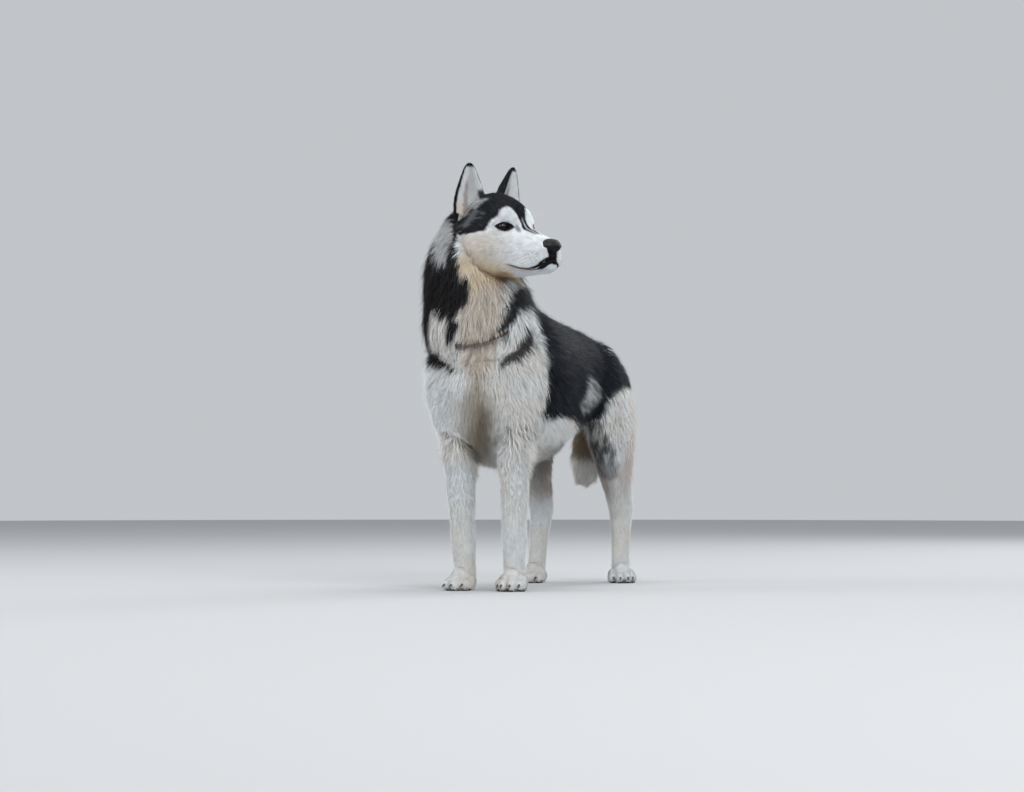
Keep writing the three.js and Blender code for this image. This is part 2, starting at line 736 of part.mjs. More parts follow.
// Collar: a narrow band round the foot of the neck, lying on the skin under the coat.
const collarFront = vector(...COLLAR.front);
const collarRun = vector(...COLLAR.back).sub(collarFront);
const collarMiddle = collarFront.clone().addScaledVector(collarRun, 0.5);
const collarUp = vector(0, -collarRun.z, collarRun.y).normalize();
const above = (height) => beyond(collarMiddle.clone().addScaledVector(collarUp, height), collarUp);
const below = (height) =>
  beyond(collarMiddle.clone().addScaledVector(collarUp, height), collarUp.clone().negate());
const slab = (tall) => above(-tall / 2).intersect(below(tall / 2));
const collarSolid = slab(COLLAR.tall).intersect(trunk(COLLAR.thick)).subtract(trunk(GAP));
const collarRoom = slab(COLLAR.tall + 2 * GAP).intersect(trunk(COLLAR.thick + GAP)).subtract(trunk());

const earSolids = [1, -1].map((side) =>
  largest(cutBy(solid(onHead(earShape(side))), headRoom, trunk(GAP))),
);
const earRoom = joined([1, -1].map((side) => solid(onHead(earShape(side)), GAP)));

const neckHair = cutBy(locksOf(neckLocks), headRoom, earRoom, collarRoom);
// The bent faces of a lock turn as it grows, so the bare locks are cleared as well.
const neckRoom = locksOf(neckLocks, GAP).add(locksOf(neckLocks));
const neckSolid = largest(
  cutBy(trunk().intersect(above(GAP / 2)), headRoom, earRoom)
    .add(cutBy(neckHair, trunk(GAP).intersect(below(GAP / 2)))),
);

const legRoom = joined(LEGS.map((leg) => legSolid(leg, GAP)));
const torsoLocks = [...chestLocks, ...backLocks];
const torsoHair = cutBy(
  locksOf(torsoLocks), headRoom, earRoom, collarRoom, neckRoom, legRoom.subtract(trunk()),
);
const torsoSolid = largest(
  trunk()
    .intersect(below(-GAP / 2))
    .add(cutBy(torsoHair, trunk(GAP).intersect(above(-GAP / 2))))
    .subtract(neckRoom.subtract(trunk())),
);
const torsoRoom = trunk(GAP).add(locksOf(torsoLocks, GAP));

const hindLegs = LEGS.filter((leg) => leg.rows === HINDLEG);
const foreLegs = LEGS.filter((leg) => leg.rows === FORELEG);
const hock = vector(0, 0, HOCK_CUT);
const thighHair = hindLegs.map(thighLocks);
const thighSolids = hindLegs.map((leg, k) =>
  largest(
    cutBy(
      legSolid(leg).intersect(beyond(hock, UP)).add(locksOf(thighHair[k])),
      torsoRoom,
      beyond(vector(0, 0, HOCK_CUT + GAP / 2), DOWN).intersect(legSolid(leg, GAP)),
    ),
  ),
);
const thighRoom = joined(thighHair.map((locks) => locksOf(locks, GAP)));
const shankSolids = hindLegs.map((leg) =>
  largest(cutBy(legSolid(leg).intersect(beyond(vector(0, 0, HOCK_CUT - GAP / 2), DOWN)), thighRoom)),
);
const foreSolids = foreLegs.map((leg) => largest(cutBy(legSolid(leg), torsoRoom)));
const tailHair = tailLocks();
const tailSolid = largest(
  cutBy(solid(tailCore()).add(locksOf(tailHair)), torsoRoom, legRoom, thighRoom),
);

const finish = (color, roughness = 0.9) =>
  new THREE.MeshStandardMaterial({ color, roughness, metalness: 0 });
const BLACK_COAT = finish(0x232325);
const GREY_COAT = finish(0x8d8a84);
const WHITE_COAT = finish(0xd9d5cb);

const dog = new THREE.Group();
dog.name = "siberian_husky";

// Rounding to 32 bits can part a scrap that hung by one corner, so the largest body is taken last.
function place(name, made, material) {
  const mesh = new THREE.Mesh(geometryOf(largest(solid(geometryOf(made)))), material);
  mesh.name = name;
  dog.add(mesh);
}

place("torso", torsoSolid, BLACK_COAT);
place("neck", neckSolid, GREY_COAT);
place("head", headSolid, WHITE_COAT);
place("nose", noseSolid, finish(0x15161a, 0.4));
place("tail", tailSolid, GREY_COAT);
place("collar", largest(collarSolid), finish(0x4a2f1d, 0.6));
["left", "right"].forEach((end, k) => {
  place(`ear_${end}`, earSolids[k], BLACK_COAT);
  place(`eye_${end}`, eyes[k], finish(0x1a120c, 0.1));
  place(`foreleg_${end}`, foreSolids[k], WHITE_COAT);
  place(`thigh_${end}`, thighSolids[k], GREY_COAT);
  place(`hindleg_${end}`, shankSolids[k], WHITE_COAT);
});

// The origin is the middle of the footprint, on the floor.
const box = new THREE.Box3().setFromObject(dog);
const centre = box.getCenter(vector());
dog.position.set(-centre.x, -centre.y, -box.min.z);

export default dog;
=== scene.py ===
import math

import bpy
import numpy as np
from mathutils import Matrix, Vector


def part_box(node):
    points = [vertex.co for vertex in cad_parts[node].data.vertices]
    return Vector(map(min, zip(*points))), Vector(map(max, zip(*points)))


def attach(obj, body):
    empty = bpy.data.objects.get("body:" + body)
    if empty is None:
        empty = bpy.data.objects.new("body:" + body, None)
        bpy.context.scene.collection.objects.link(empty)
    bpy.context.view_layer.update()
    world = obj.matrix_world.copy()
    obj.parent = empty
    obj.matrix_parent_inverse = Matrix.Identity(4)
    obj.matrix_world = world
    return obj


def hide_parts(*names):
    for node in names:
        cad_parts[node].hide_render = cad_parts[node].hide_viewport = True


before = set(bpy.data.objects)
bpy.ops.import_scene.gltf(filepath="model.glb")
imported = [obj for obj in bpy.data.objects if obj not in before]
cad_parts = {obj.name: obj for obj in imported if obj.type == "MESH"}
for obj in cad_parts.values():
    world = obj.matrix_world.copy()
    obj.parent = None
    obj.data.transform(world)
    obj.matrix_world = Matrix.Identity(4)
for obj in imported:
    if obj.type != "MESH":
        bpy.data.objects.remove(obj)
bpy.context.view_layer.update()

# Floor, light and camera. The dog stands on a plain pale studio floor under soft boxes.
# Its own frame is in millimetres: origin on the floor between the forefeet, nose towards -Y,
# left side +X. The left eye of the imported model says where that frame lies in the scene.
HEAD_AT = np.array([74.0, -37.0, 695.0])
HEAD_TURN = math.radians(66 - 90)
FORWARD = np.array([math.cos(HEAD_TURN), math.sin(HEAD_TURN), 0.0])
LEFT = np.array([-math.sin(HEAD_TURN), math.cos(HEAD_TURN), 0.0])
UP = np.array([0.0, 0.0, 1.0])
HEAD_AXES = np.stack([FORWARD, LEFT, UP])
EYE_RADIUS = 12.0
EYE_PLACE = np.array([-1.0, 32.0, 0.0])  # in the head's own axes: forward, left, up


def linear(code):
    """Linear colour of an sRGB hex value: c / 12.92 when dark, else ((c + 0.055) / 1.055) ^ 2.4."""
    c = np.array([int(code[k : k + 2], 16) for k in (1, 3, 5)]) / 255
    return np.where(c <= 0.04045, c / 12.92, ((c + 0.055) / 1.055) ** 2.4)


def unit(vectors):
    """Each vector along the last axis divided by its length."""
    return vectors / np.maximum(np.linalg.norm(vectors, axis=-1, keepdims=True), 1e-9)


def from_head(points):
    """Head axes to the dog's frame: HEAD_AT + x forward + y left + z up."""
    return HEAD_AT + np.asarray(points, float) @ HEAD_AXES


def to_head(points):
    """The dog's frame to head axes."""
    return (points - HEAD_AT) @ HEAD_AXES.T


eye_low, eye_high = (np.array(corner) * 1000 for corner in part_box("eye_left"))
DOG_AT = (eye_low + eye_high) / 2 - from_head(EYE_PLACE)


def placed(points):
    """Millimetres in the dog's frame to metres in the scene."""
    return (np.asarray(points, float) + DOG_AT) / 1000


def add(tree, kind, inputs=(), **settings):
    """Adds a node with its settings. Inputs pairs a socket with a value or with another node's output."""
    made = tree.nodes.new(kind)
    for name, value in settings.items():
        setattr(made, name, value)
    for socket, value in dict(inputs).items():
        if isinstance(value, bpy.types.NodeSocket):
            tree.links.new(value, made.inputs[socket])
        else:
            made.inputs[socket].default_value = value
    return made


def new_material(name):
    """An empty material and its node tree."""
    material = bpy.data.materials.new(name)
    material.use_nodes = True
    material.node_tree.nodes.clear()
    return material, material.node_tree


def finished(tree, inputs):
    """A Principled shader with these inputs, linked to the material's output."""
    shader = add(tree, "ShaderNodeBsdfPrincipled", inputs)
    add(tree, "ShaderNodeOutputMaterial", {"Surface": shader.outputs["BSDF"]})


def paint(code):
    """An sRGB hex value as the linear colour of a socket."""
    return (*linear(code), 1.0)


def mesh_of(name, points, faces):
    """A mesh in metres from points in the dog's millimetres and faces with equally many corners."""
    mesh = bpy.data.meshes.new(name)
    mesh.vertices.add(len(points))
    mesh.vertices.foreach_set("co", placed(points).astype(np.float32).ravel())
    mesh.loops.add(faces.size)
    mesh.loops.foreach_set("vertex_index", faces.astype(np.int32).ravel())
    mesh.polygons.add(len(faces))
    mesh.polygons.foreach_set("loop_start", np.arange(0, faces.size, faces.shape[1], dtype=np.int32))
    mesh.polygons.foreach_set("use_smooth", np.ones(len(faces), bool))
    mesh.update(calc_edges=True)
    return mesh


def shown(name, mesh, material):
    """An object at the origin that shows the mesh in a material."""
    piece = bpy.data.objects.new(name, mesh)
    bpy.context.scene.collection.objects.link(piece)
    mesh.materials.append(material)
    return piece


def fitted(name, mesh, material, slot, *replaced):
    """A finished piece of the dog: shown, carried by the one body, and put in the place of the nodes
    of the model that it replaces, which are hidden. Its slot is not used."""
    piece = shown(name, mesh, material)
    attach(piece, "root")
    if replaced:
        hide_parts(*replaced)


# The floor is one pale sheet of studio paper. Its fine fibre keeps it matt, so nothing mirrors in it.
FLOOR_RADIUS = 9000.0
paper, tree = new_material("studio_paper_matt")
place = add(tree, "ShaderNodeTexCoord")
fibre = add(tree, "ShaderNodeTexNoise", {"Vector": place.outputs["Object"], "Scale": 900.0, "Detail": 3.0})
relief = add(tree, "ShaderNodeBump", {"Strength": 0.05, "Distance": 0.0002, "Height": fibre.outputs["Fac"]})
finished(tree, {"Base Color": paint("#B4B6B8"), "Roughness": 0.9, "Normal": relief.outputs["Normal"]})
round_edge = np.linspace(0, 2 * np.pi, 96, endpoint=False)
sheet = FLOOR_RADIUS * np.stack([np.cos(round_edge), np.sin(round_edge), 0 * round_edge], 1)
floor = shown("studio_floor", mesh_of("studio_floor", sheet, np.arange(96)[None]), paper)

world = bpy.data.worlds.new("studio_air")
world.use_nodes = True
world.node_tree.nodes["Background"].inputs["Color"].default_value = paint("#E0E4E8")
world.node_tree.nodes["Background"].inputs["Strength"].default_value = 0.72
bpy.context.scene.world = world
bpy.context.scene.view_settings.view_transform = "Standard"


def aimed(thing, at, target):
    """Puts a lamp or camera at a place in the dog's millimetres and turns its -Z to the target: its X
    axis is up x back, its Y axis back x right, and the angles are those of that turn."""
    bpy.context.scene.collection.objects.link(thing)
    start, end = placed(at), placed(target)
    thing.location = start
    back = unit(start - end)
    right = unit(np.cross(UP, back))
    above = np.cross(back, right)
    thing.rotation_euler = (
        math.atan2(above[2], back[2]),
        math.atan2(-right[2], math.hypot(right[0], right[1])),
        math.atan2(right[1], right[0]),
    )


CHEST = (0, 60, 420)
# name, place, width and height, power
SOFT_BOXES = [
    ("key", (3500, -3200, 3000), (3.0, 3.0), 150),
    ("fill", (-4000, -2000, 2200), (3.0, 3.0), 96),
    ("top", (200, 300, 4600), (3.0, 3.0), 92),
    ("rim", (1400, 4000, 2300), (2.0, 2.4), 70),
    ("catch", (-50, -2870, 2600), (1.1, 1.1), 170),
]
for name, at, (wide, tall), power in SOFT_BOXES:
    lamp = bpy.data.lights.new(f"softbox_{name}", "AREA")
    lamp.shape = "RECTANGLE"
    lamp.size, lamp.size_y = wide, tall
    lamp.energy = power
    aimed(bpy.data.objects.new(lamp.name, lamp), at, CHEST)
# The catch light is seen only as the bright spot in the eyes and on the nose.
bpy.data.objects["softbox_catch"].visible_diffuse = False

# The photo is taken from the dog's front left, 24 degrees round, low and from far off.
CAMERA_TURN = math.radians(24)
CAMERA_AWAY = 5500.0
CAMERA_HEIGHT = 220.0
AIM_HEIGHT = 375.0
AIM_RIGHT = 45.4
SENSOR_WIDTH = 36.0
LENS = 100.2
camera_right = np.array([math.cos(CAMERA_TURN), math.sin(CAMERA_TURN), 0])
camera_back = np.array([math.sin(CAMERA_TURN), -math.cos(CAMERA_TURN), 0])
camera = bpy.data.cameras.new("camera")
camera.lens, camera.sensor_width, camera.sensor_fit = LENS, SENSOR_WIDTH, "HORIZONTAL"
camera.clip_end = 50
viewer = bpy.data.objects.new("camera", camera)
aimed(viewer, camera_back * CAMERA_AWAY + UP * CAMERA_HEIGHT, camera_right * AIM_RIGHT + UP * AIM_HEIGHT)
bpy.context.scene.camera = viewer

# Skin of the body. The real hide runs without a seam over trunk, neck, legs and tail, and lies
# under the coat by the coat's depth. Each part is a row of ovals; the parts are fused and relaxed.
STEPS = 4  # rings between two rows of a table


def rows_of(table, steps=STEPS):
    """Catmull-Rom rows between the rows of a table, one array for each column, shaped (rings, 1)."""
    rows = np.asarray(table, float)
    place = np.linspace(0, len(rows) - 1, (len(rows) - 1) * steps + 1)
    i = np.minimum(place.astype(int), len(rows) - 2)
    f = (place - i)[:, None]
    a, b, c, d = (rows[np.clip(i + k, 0, len(rows) - 1)] for k in (-1, 0, 1, 2))
    value = b + 0.5 * f * (c - a + f * (2 * a - 5 * b + 4 * c - d + f * (3 * (b - c) + d - a)))
    return value.T[:, :, None]


def angles(sides):
    """Equal angles round a ring, shaped (1, sides)."""
    return np.linspace(0, 2 * np.pi, sides, endpoint=False)[None]


def oval(angle, power):
    """A circle squared by the power: sign(cos) |cos|^(2 / power), and the same of sin."""
    c, s = np.cos(angle), np.sin(angle)
    return np.sign(c) * np.abs(c) ** (2 / power), np.sign(s) * np.abs(s) ** (2 / power)


def smoothstep(value, low, high):
    """3 t^2 - 2 t^3 of the share t of the way from low to high, kept between 0 and 1."""
    t = np.clip((value - low) / (high - low), 0, 1)
    return t * t * (3 - 2 * t)


def closed(grid):
    """Points and triangles over rings of points, each end drawn to its ring's middle, facing outwards."""
    rings, sides = grid.shape[:2]
    at = np.arange(rings * sides).reshape(rings, sides)
    beside = np.roll(at, -1, axis=1)
    first, last = rings * sides, rings * sides + 1
    faces = np.concatenate([
        np.stack([at[:-1], beside[:-1], beside[1:]], -1).reshape(-1, 3),
        np.stack([at[:-1], beside[1:], at[1:]], -1).reshape(-1, 3),
        np.stack([np.full(sides, first), beside[0], at[0]], -1),
        np.stack([np.full(sides, last), at[-1], beside[-1]], -1),
    ])
    points = np.concatenate([grid.reshape(-1, 3), [grid[0].mean(0)], [grid[-1].mean(0)]])
    a, b, c = points[faces.T]
    outward = (a * np.cross(b, c)).sum() > 0
    return points, faces if outward else faces[:, ::-1]


# y, x, top, widest height, bottom, half width, roundness above and below; the tips of the coat
TORSO = [
    (-88, -8, 400, 400, 400, 0, 2, 2),
    (-82, -8, 440, 400, 352, 52, 2, 2),
    (-62, -8, 474, 404, 310, 100, 2.2, 2),
    (-30, -8, 516, 412, 276, 127, 2.1, 2),
    (20, -6, 550, 408, 256, 133, 1.9, 1.9),
    (80, -3, 568, 402, 250, 130, 1.8, 1.9),
    (150, 0, 558, 396, 254, 122, 1.9, 2),
    (230, 0, 542, 392, 268, 114, 2, 2),
    (310, 0, 532, 396, 292, 107, 2, 2),
    (380, 0, 524, 404, 314, 104, 2.1, 2),
    (440, 0, 508, 404, 330, 102, 2.1, 2),
    (488, 0, 480, 402, 346, 88, 2, 2),
    (516, 0, 444, 402, 366, 56, 2, 2),
    (526, 0, 402, 402, 402, 0, 2, 2),
]
CHEST_COAT, BACK_COAT, BELLY_COAT = 30.0, 20.0, 13.0  # depth from the tips to the skin
TORSO_MIDDLE = 220.0  # the ends draw in towards this place

parts = {}  # name: ring points of the skin, depth of the coat there, and the way that the coat lies


def torso_part():
    """Ovals across the trunk, smaller by the coat: x + half cos, height + (top or bottom) sin. The coat
    lies outwards and down on the breast, and back and down on the flanks."""
    y, x, top, middle, bottom, half, above, below = rows_of(TORSO)
    angle = angles(48)
    c, s = oval(angle, np.where(np.sin(angle) > 0, above, below))
    side_coat = CHEST_COAT + (BACK_COAT - CHEST_COAT) * smoothstep(y, 0, 130)
    low_coat = side_coat + (BELLY_COAT - side_coat) * smoothstep(y, -20, 60)
    low_coat = low_coat * (1 - 0.3 * smoothstep(-y, -60, 0))
    depth = np.where(s > 0, side_coat, side_coat + (low_coat - side_coat) * s * s)
    draw = 1 - side_coat / (TORSO_MIDDLE - TORSO[0][0])
    shrink = lambda size: np.maximum(size - depth, 0.25 * size)
    points = np.stack(np.broadcast_arrays(
        x + shrink(half) * c,
        TORSO_MIDDLE + (y - TORSO_MIDDLE) * draw,
        middle + shrink(np.where(s > 0, top - middle, middle - bottom)) * s,
    ), -1)
    front = smoothstep(-y, -70, 10)
    flank = np.abs(c) * (1 - front)
    lie = np.stack(np.broadcast_arrays(
        front * (points[..., 0] - 8) / 160,
        (1 - front) + 0.1 * front,
        -front - (0.15 + 0.55 * flank) * (1 - front),
    ), -1)
    parts["torso"] = points, depth, lie


torso_part()

# z, x, y, half width, half depth, turn in degrees
NECK = [
    (408, -10, 14, 0, 0, 0),
    (412, -10, 14, 84, 72, 0),
    (450, -13, 12, 108, 92, 0),
    (490, -16, 9, 117, 103, 0),
    (530, -21, 6, 113, 103, 6),
    (570, -27, 2, 107, 99, 16),
    (610, -33, -4, 99, 92, 32),
    (650, -37, -8, 87, 85, 50),
    (690, -37, -6, 67, 78, 62),
    (720, -31, -4, 47, 64, 66),
    (738, -22, -6, 24, 36, 66),
    (742, -22, -6, 0, 0, 66),
]
NECK_COAT = 34.0


def neck_part():
    """Level ovals up the neck, turned with the head: centre + turned (half cos, depth sin)."""
    z, x, y, half, deep, turn = rows_of(NECK)
    depth = NECK_COAT * (1 - 0.45 * smoothstep(z, 640, 730))
    angle, turn = angles(44), np.radians(turn)
    c = np.maximum(half - depth, 0.4 * half) * np.cos(angle)
    s = np.maximum(deep - depth, 0.4 * deep) * np.sin(angle)
    points = np.stack(np.broadcast_arrays(
        x + c * np.cos(turn) - s * np.sin(turn),
        y + c * np.sin(turn) + s * np.cos(turn),
        z,
    ), -1)
    lie = np.stack([
        (points[..., 0] - x) / 330,
        (points[..., 1] - y) / 330 + 0.12,
        np.full(points.shape[:2], -1.0),
    ], -1)
    parts["neck"] = points, np.broadcast_to(depth, points.shape[:2]), lie


neck_part()

# z, inward lean, front, back, half width
FORELEG = [
    (22, 0, 0, 0, 0),
    (24, 0, -16, 20, 20),
    (55, 0, -19, 21, 22),
    (80, 0, -20, 22, 23.5),
    (104, 0, -23, 24, 24.5),
    (130, 0, -24, 25, 24),
    (180, 0, -27, 29, 27),
    (230, 0, -31, 36, 29),
    (280, 2, -42, 45, 33),
    (330, 8, -57, 58, 41),
    (372, 14, -58, 56, 36),
    (376, 16, 20, 20, 0),
]
HINDLEG = [
    (22, 0, 492, 492, 0),
    (24, 0, 474, 508, 18),
    (60, 0, 474, 510, 19),
    (100, 0, 475, 514, 20),
    (132, 0, 472, 524, 22),
    (152, 0, 464, 532, 23),
    (176, 1, 448, 524, 24),
    (215, 3, 420, 512, 30),
    (260, 5, 386, 514, 37),
    (305, 5, 352, 524, 43),
    (350, 2, 334, 532, 47),
    (395, -4, 334, 530, 47),
    (440, -16, 352, 515, 42),
    (478, -30, 380, 490, 30),
    (482, -30, 430, 430, 0),
]
# name: its table, side, where its foot and its root stand, and how far the toes turn out
LEGS = {
    "foreleg_left": (FORELEG, 1, (54, 0), (54, 0), 4),
    "foreleg_right": (FORELEG, -1, (-48, 0), (-66, 0), 16),
    "hindleg_left": (HINDLEG, 1, (82, 0), (80, -10), 30),
    "hindleg_right": (HINDLEG, -1, (-80, -70), (-80, -20), 10),
}
ROOT_HEIGHT = 330.0  # where a leg leaves the body


def leg_part(name):
    """Level ovals up a leg, leaning from root to foot: x + half cos, middle + half length sin. The coat
    is deeper above and in the feather behind. Returns the middle of the lowest ring."""
    table, side, foot, root, _ = LEGS[name]
    z, lean, front, back, half = rows_of(table)
    hind = table is HINDLEG
    up = np.minimum(z / ROOT_HEIGHT, 1)
    x = foot[0] + (root[0] - foot[0]) * up + side * lean
    shift = foot[1] + (root[1] - foot[1]) * up
    c, s = oval(angles(28), 2.2)
    depth = 3.0 + 3.5 * smoothstep(z, 90, 220) + (10 if hind else 19) * smoothstep(z, 240, 345)
    feather = (15 if hind else 9) * smoothstep(s, 0.1, 0.9) * (1 - smoothstep(z, 370, 430))
    depth = depth + feather * smoothstep(z, 150, 260)
    depth = depth + 4 * feather / 9 * smoothstep(z, 100, 150) * (not hind)
    shrink = lambda size: np.maximum(size - depth, 0.45 * size)
    points = np.stack(np.broadcast_arrays(
        x + shrink(half) * c,
        shift + (front + back) / 2 + shrink((back - front) / 2) * s,
        z,
    ), -1)
    rearward = 0.1 + (0.5 if hind else 0.3) * smoothstep(s, 0, 1) * smoothstep(z, 140, 260)
    lie = np.stack(np.broadcast_arrays(0 * s, rearward + 0 * z, -1 + 0 * s), -1)
    parts[name] = points, depth, lie
    return float(x[STEPS, 0]), float((shift + (front + back) / 2)[STEPS, 0])


ankles = {name: leg_part(name) for name in LEGS}

# x, y, z, half width, half depth, depth of the coat
TAIL = [
    (0, 480, 450, 0, 0, 0),
    (0, 490, 446, 26, 22, 8),
    (-2, 536, 430, 32, 28, 15),
    (-8, 570, 392, 37, 34, 24),
    (-16, 582, 340, 39, 37, 27),
    (-24, 582, 286, 39, 37, 27),
    (-30, 577, 240, 34, 33, 25),
    (-32, 574, 222, 20, 20, 16),
    (-33, 573, 214, 0, 0, 16),
]


def tail_part():
    """Rings square to the tail's bent middle line: centre + half cos sideways + depth sin backwards."""
    x, y, z, half, deep, depth = rows_of(TAIL)
    centre = np.concatenate([x, y, z], 1)
    along = unit(np.gradient(centre, axis=0))
    side = np.array([1.0, 0, 0])
    rear = unit(np.cross(along, side))
    angle = angles(24)
    wide = (np.maximum(half - depth, 0.3 * half) * np.cos(angle))[..., None]
    thick = (np.maximum(deep - depth, 0.3 * deep) * np.sin(angle))[..., None]
    points = centre[:, None] + wide * side + thick * rear[:, None]
    lie = np.broadcast_to(along[:, None], points.shape)
    parts["tail"] = points, np.broadcast_to(depth, points.shape[:2]), lie


tail_part()


def neighbours(faces):
    """Both ends of every edge of the faces, one row for each."""
    pairs = np.stack([faces, np.roll(faces, -1, axis=1)], -1).reshape(-1, 2)
    return np.unique(np.sort(pairs, axis=1), axis=0)


def relaxed(values, edges, rounds, give_back=0.0):
    """Each round moves a value half way to its neighbours' mean, and then back by a share of that step."""
    a, b = edges.T
    count = np.bincount(edges.ravel(), minlength=len(values))[:, None]
    values = values.astype(float)
    for turn in range(rounds):
        total = np.stack([
            np.bincount(a, column[b], len(values)) + np.bincount(b, column[a], len(values))
            for column in values.T
        ], 1)
        values = values + (0.5 if turn % 2 == 0 else 0.5 - give_back) * (total / count - values)
    return values


def evaluated(thing):
    """An object's points with its modifiers applied, and the new mesh. The object leaves the scene."""
    start = thing.data
    start.update()
    made = bpy.data.meshes.new_from_object(thing.evaluated_get(bpy.context.evaluated_depsgraph_get()))
    points = np.empty(len(made.vertices) * 3, np.float32)
    made.vertices.foreach_get("co", points)
    bpy.data.objects.remove(thing)
    bpy.data.meshes.remove(start)
    return points.reshape(-1, 3) * 1000.0 - DOG_AT, made


def gathered(shapes):
    """Many closed shapes as one: points, faces."""
    start = np.cumsum([0] + [len(points) for points, _ in shapes[:-1]])
    return (
        np.concatenate([points for points, _ in shapes]),
        np.concatenate([faces + k for (_, faces), k in zip(shapes, start)]),
    )


def fused(skins, voxel):
    """One closed skin round closed ones, remeshed in voxels of that many millimetres: points, quads."""
    thing = shown("fusing", mesh_of("fusing", *gathered(skins)), paper)
    remesh = thing.modifiers.new("voxels", "REMESH")
    remesh.mode, remesh.voxel_size = "VOXEL", voxel / 1000
    points, made = evaluated(thing)
    corners = np.empty(len(made.loops), np.int32)
    made.loops.foreach_get("vertex_index", corners)
    bpy.data.meshes.remove(made)
    return points, corners.reshape(-1, 4)


BODY_VOXEL, PAW_VOXEL, HEAD_VOXEL = 6.0, 2.6, 1.7
TAUBIN = 1.04  # the step back of each second round, so that thin legs don't shrink
BODY_ROUNDS, PAW_ROUNDS, HEAD_ROUNDS = 14, 4, 6

body_points, body_faces = fused([closed(points) for points, _, _ in parts.values()], BODY_VOXEL)
body_points = relaxed(body_points, neighbours(body_faces), BODY_ROUNDS, TAUBIN)

# Paws. Each foot is an arched pad of short white hair over four toes, the outer two set back,
# with leathery pads under them that the dog stands on.
TOES = [
    (-21.5, 18, 11.5, (10.5, 20, 13.5)),
    (-8.6, 33, 12, (10.8, 22, 14.5)),
    (8.6, 33, 12, (10.8, 22, 14.5)),
    (21.5, 18, 11.5, (10.5, 20, 13.5)),
]  # to its side, ahead, up, radii
PAW_COAT = 2.2
HIND_PAW = 0.94  # a hind foot is a little smaller
PAW_FLOOR = 1.2  # the skin ends this far above the floor, on the pads


def ball(centre, radii, across=24, down=14):
    """Sphere rings from pole to pole: centre + radii (sin t cos a, sin t sin a, cos t)."""
    t = np.linspace(0.08, np.pi - 0.08, down)[:, None]
    a = angles(across)
    shape = np.stack([np.sin(t) * np.cos(a), np.sin(t) * np.sin(a), np.cos(t) + 0 * a], -1)
    return np.asarray(centre) + shape * np.asarray(radii)


def turned(points, angle):
    """Points turned about Z by an angle in radians."""
    c, s = math.cos(angle), math.sin(angle)
    return points @ np.array([[c, s, 0], [-s, c, 0], [0, 0, 1]])


def on_foot(name, points):
    """Points of a forepaw in the middle of its own foot, sized, turned out and set under that leg."""
    table, side, _, _, out = LEGS[name]
    size = 1 if table is FORELEG else HIND_PAW
    return turned(points * size, side * math.radians(out)) + np.array([*ankles[name], 0])


def paw_skins(name):
    """A foot, a knuckle and a tip for each toe, flat on the floor."""
    _, side, _, _, out = LEGS[name]
    inner = lambda radii: np.array(radii) - PAW_COAT
    shapes = [ball((0, -3, 21), inner((23, 23, 22))), ball((0, -14, 27), inner((19, 20, 19)))]
    for across, ahead, up, radii in TOES:
        shapes.append(ball((across, -ahead, up), inner(radii)))
        shapes.append(ball((across * 0.92, -ahead + 9, up + 5), inner((10.5, 15, 16))))
    set_down = [on_foot(name, shape) for shape in shapes]
    lie = turned(np.array([0, -1.0, -0.35]), side * math.radians(out))
    for k, shape in enumerate(set_down):
        shape[..., 2] = np.maximum(shape[..., 2], PAW_FLOOR)
        guides = shape[::2, ::2]
        depth = np.full(guides.shape[:2], PAW_COAT)
        parts[f"paw_{name}_{k}"] = guides, depth, np.broadcast_to(lie, guides.shape)
    return [closed(shape) for shape in set_down]


paw_points, paw_faces = fused([skin for name in LEGS for skin in paw_skins(name)], PAW_VOXEL)
paw_points = relaxed(paw_points, neighbours(paw_faces), PAW_ROUNDS, TAUBIN)

# Head. Short hair lies close on brow, muzzle and lips and grows deep behind the cheeks. The skin
# adds what shows through it: brow, stop, cheek bone, whisker pads, lips and the sockets' lids.
# x, top, widest height, bottom, half width, roundness above and below, in head axes
HEAD = [
    (-116, 0, 0, 0, 0, 2, 2),
    (-110, 40, -8, -50, 46, 2, 2),
    (-92, 63, -16, -84, 68, 1.85, 2),
    (-68, 71, -22, -98, 76, 1.8, 2),
    (-45, 71, -28, -100, 76, 1.75, 2),
    (-22, 64, -34, -98, 70, 1.75, 2.1),
    (-4, 53, -38, -96, 60, 1.85, 2.2),
    (10, 35, -40, -95, 52, 2.0, 2.3),
    (20, 15, -42, -95, 46, 2.0, 2.4),
    (32, -2, -46, -94, 40, 2.1, 2.5),
    (54, -12, -50, -93, 36, 2.3, 2.6),
    (76, -21, -56, -92, 33, 2.4, 2.6),
    (91, -28, -58, -87, 28, 2.4, 2.4),
    (99, -36, -60, -82, 20, 2.2, 2.2),
    (103, -60, -60, -60, 0, 2, 2),
]
# x, y, z, reach, height: soft rises and hollows on both sides
HEAD_FORMS = [
    (4, 26, 26, 15, 3),  # brow
    (12, 24, -6, 13, -5),  # hollow before the eye
    (-34, 62, 14, 22, -4),  # temple
    (-14, 56, -30, 24, 3),  # cheek bone
    (84, 24, -64, 18, 3.5),  # whisker pad
    (92, 8, -86, 14, 2),  # chin
    (30, 40, -78, 22, -2.5),  # behind the lips
    (-20, 0, 60, 16, -2.5),  # furrow of the forehead
]


def head_coat(x, s):
    """Depth of the coat on the head: 2.5 on the muzzle, 5 on the brow, and deep behind and below."""
    behind = smoothstep(-x, -6, 76)
    low = smoothstep(-s, -0.25, 0.8)
    return 2.5 + 2.0 * smoothstep(-x, -40, 0) + (4 + 17 * low + 3 * (1 - np.abs(s))) * behind


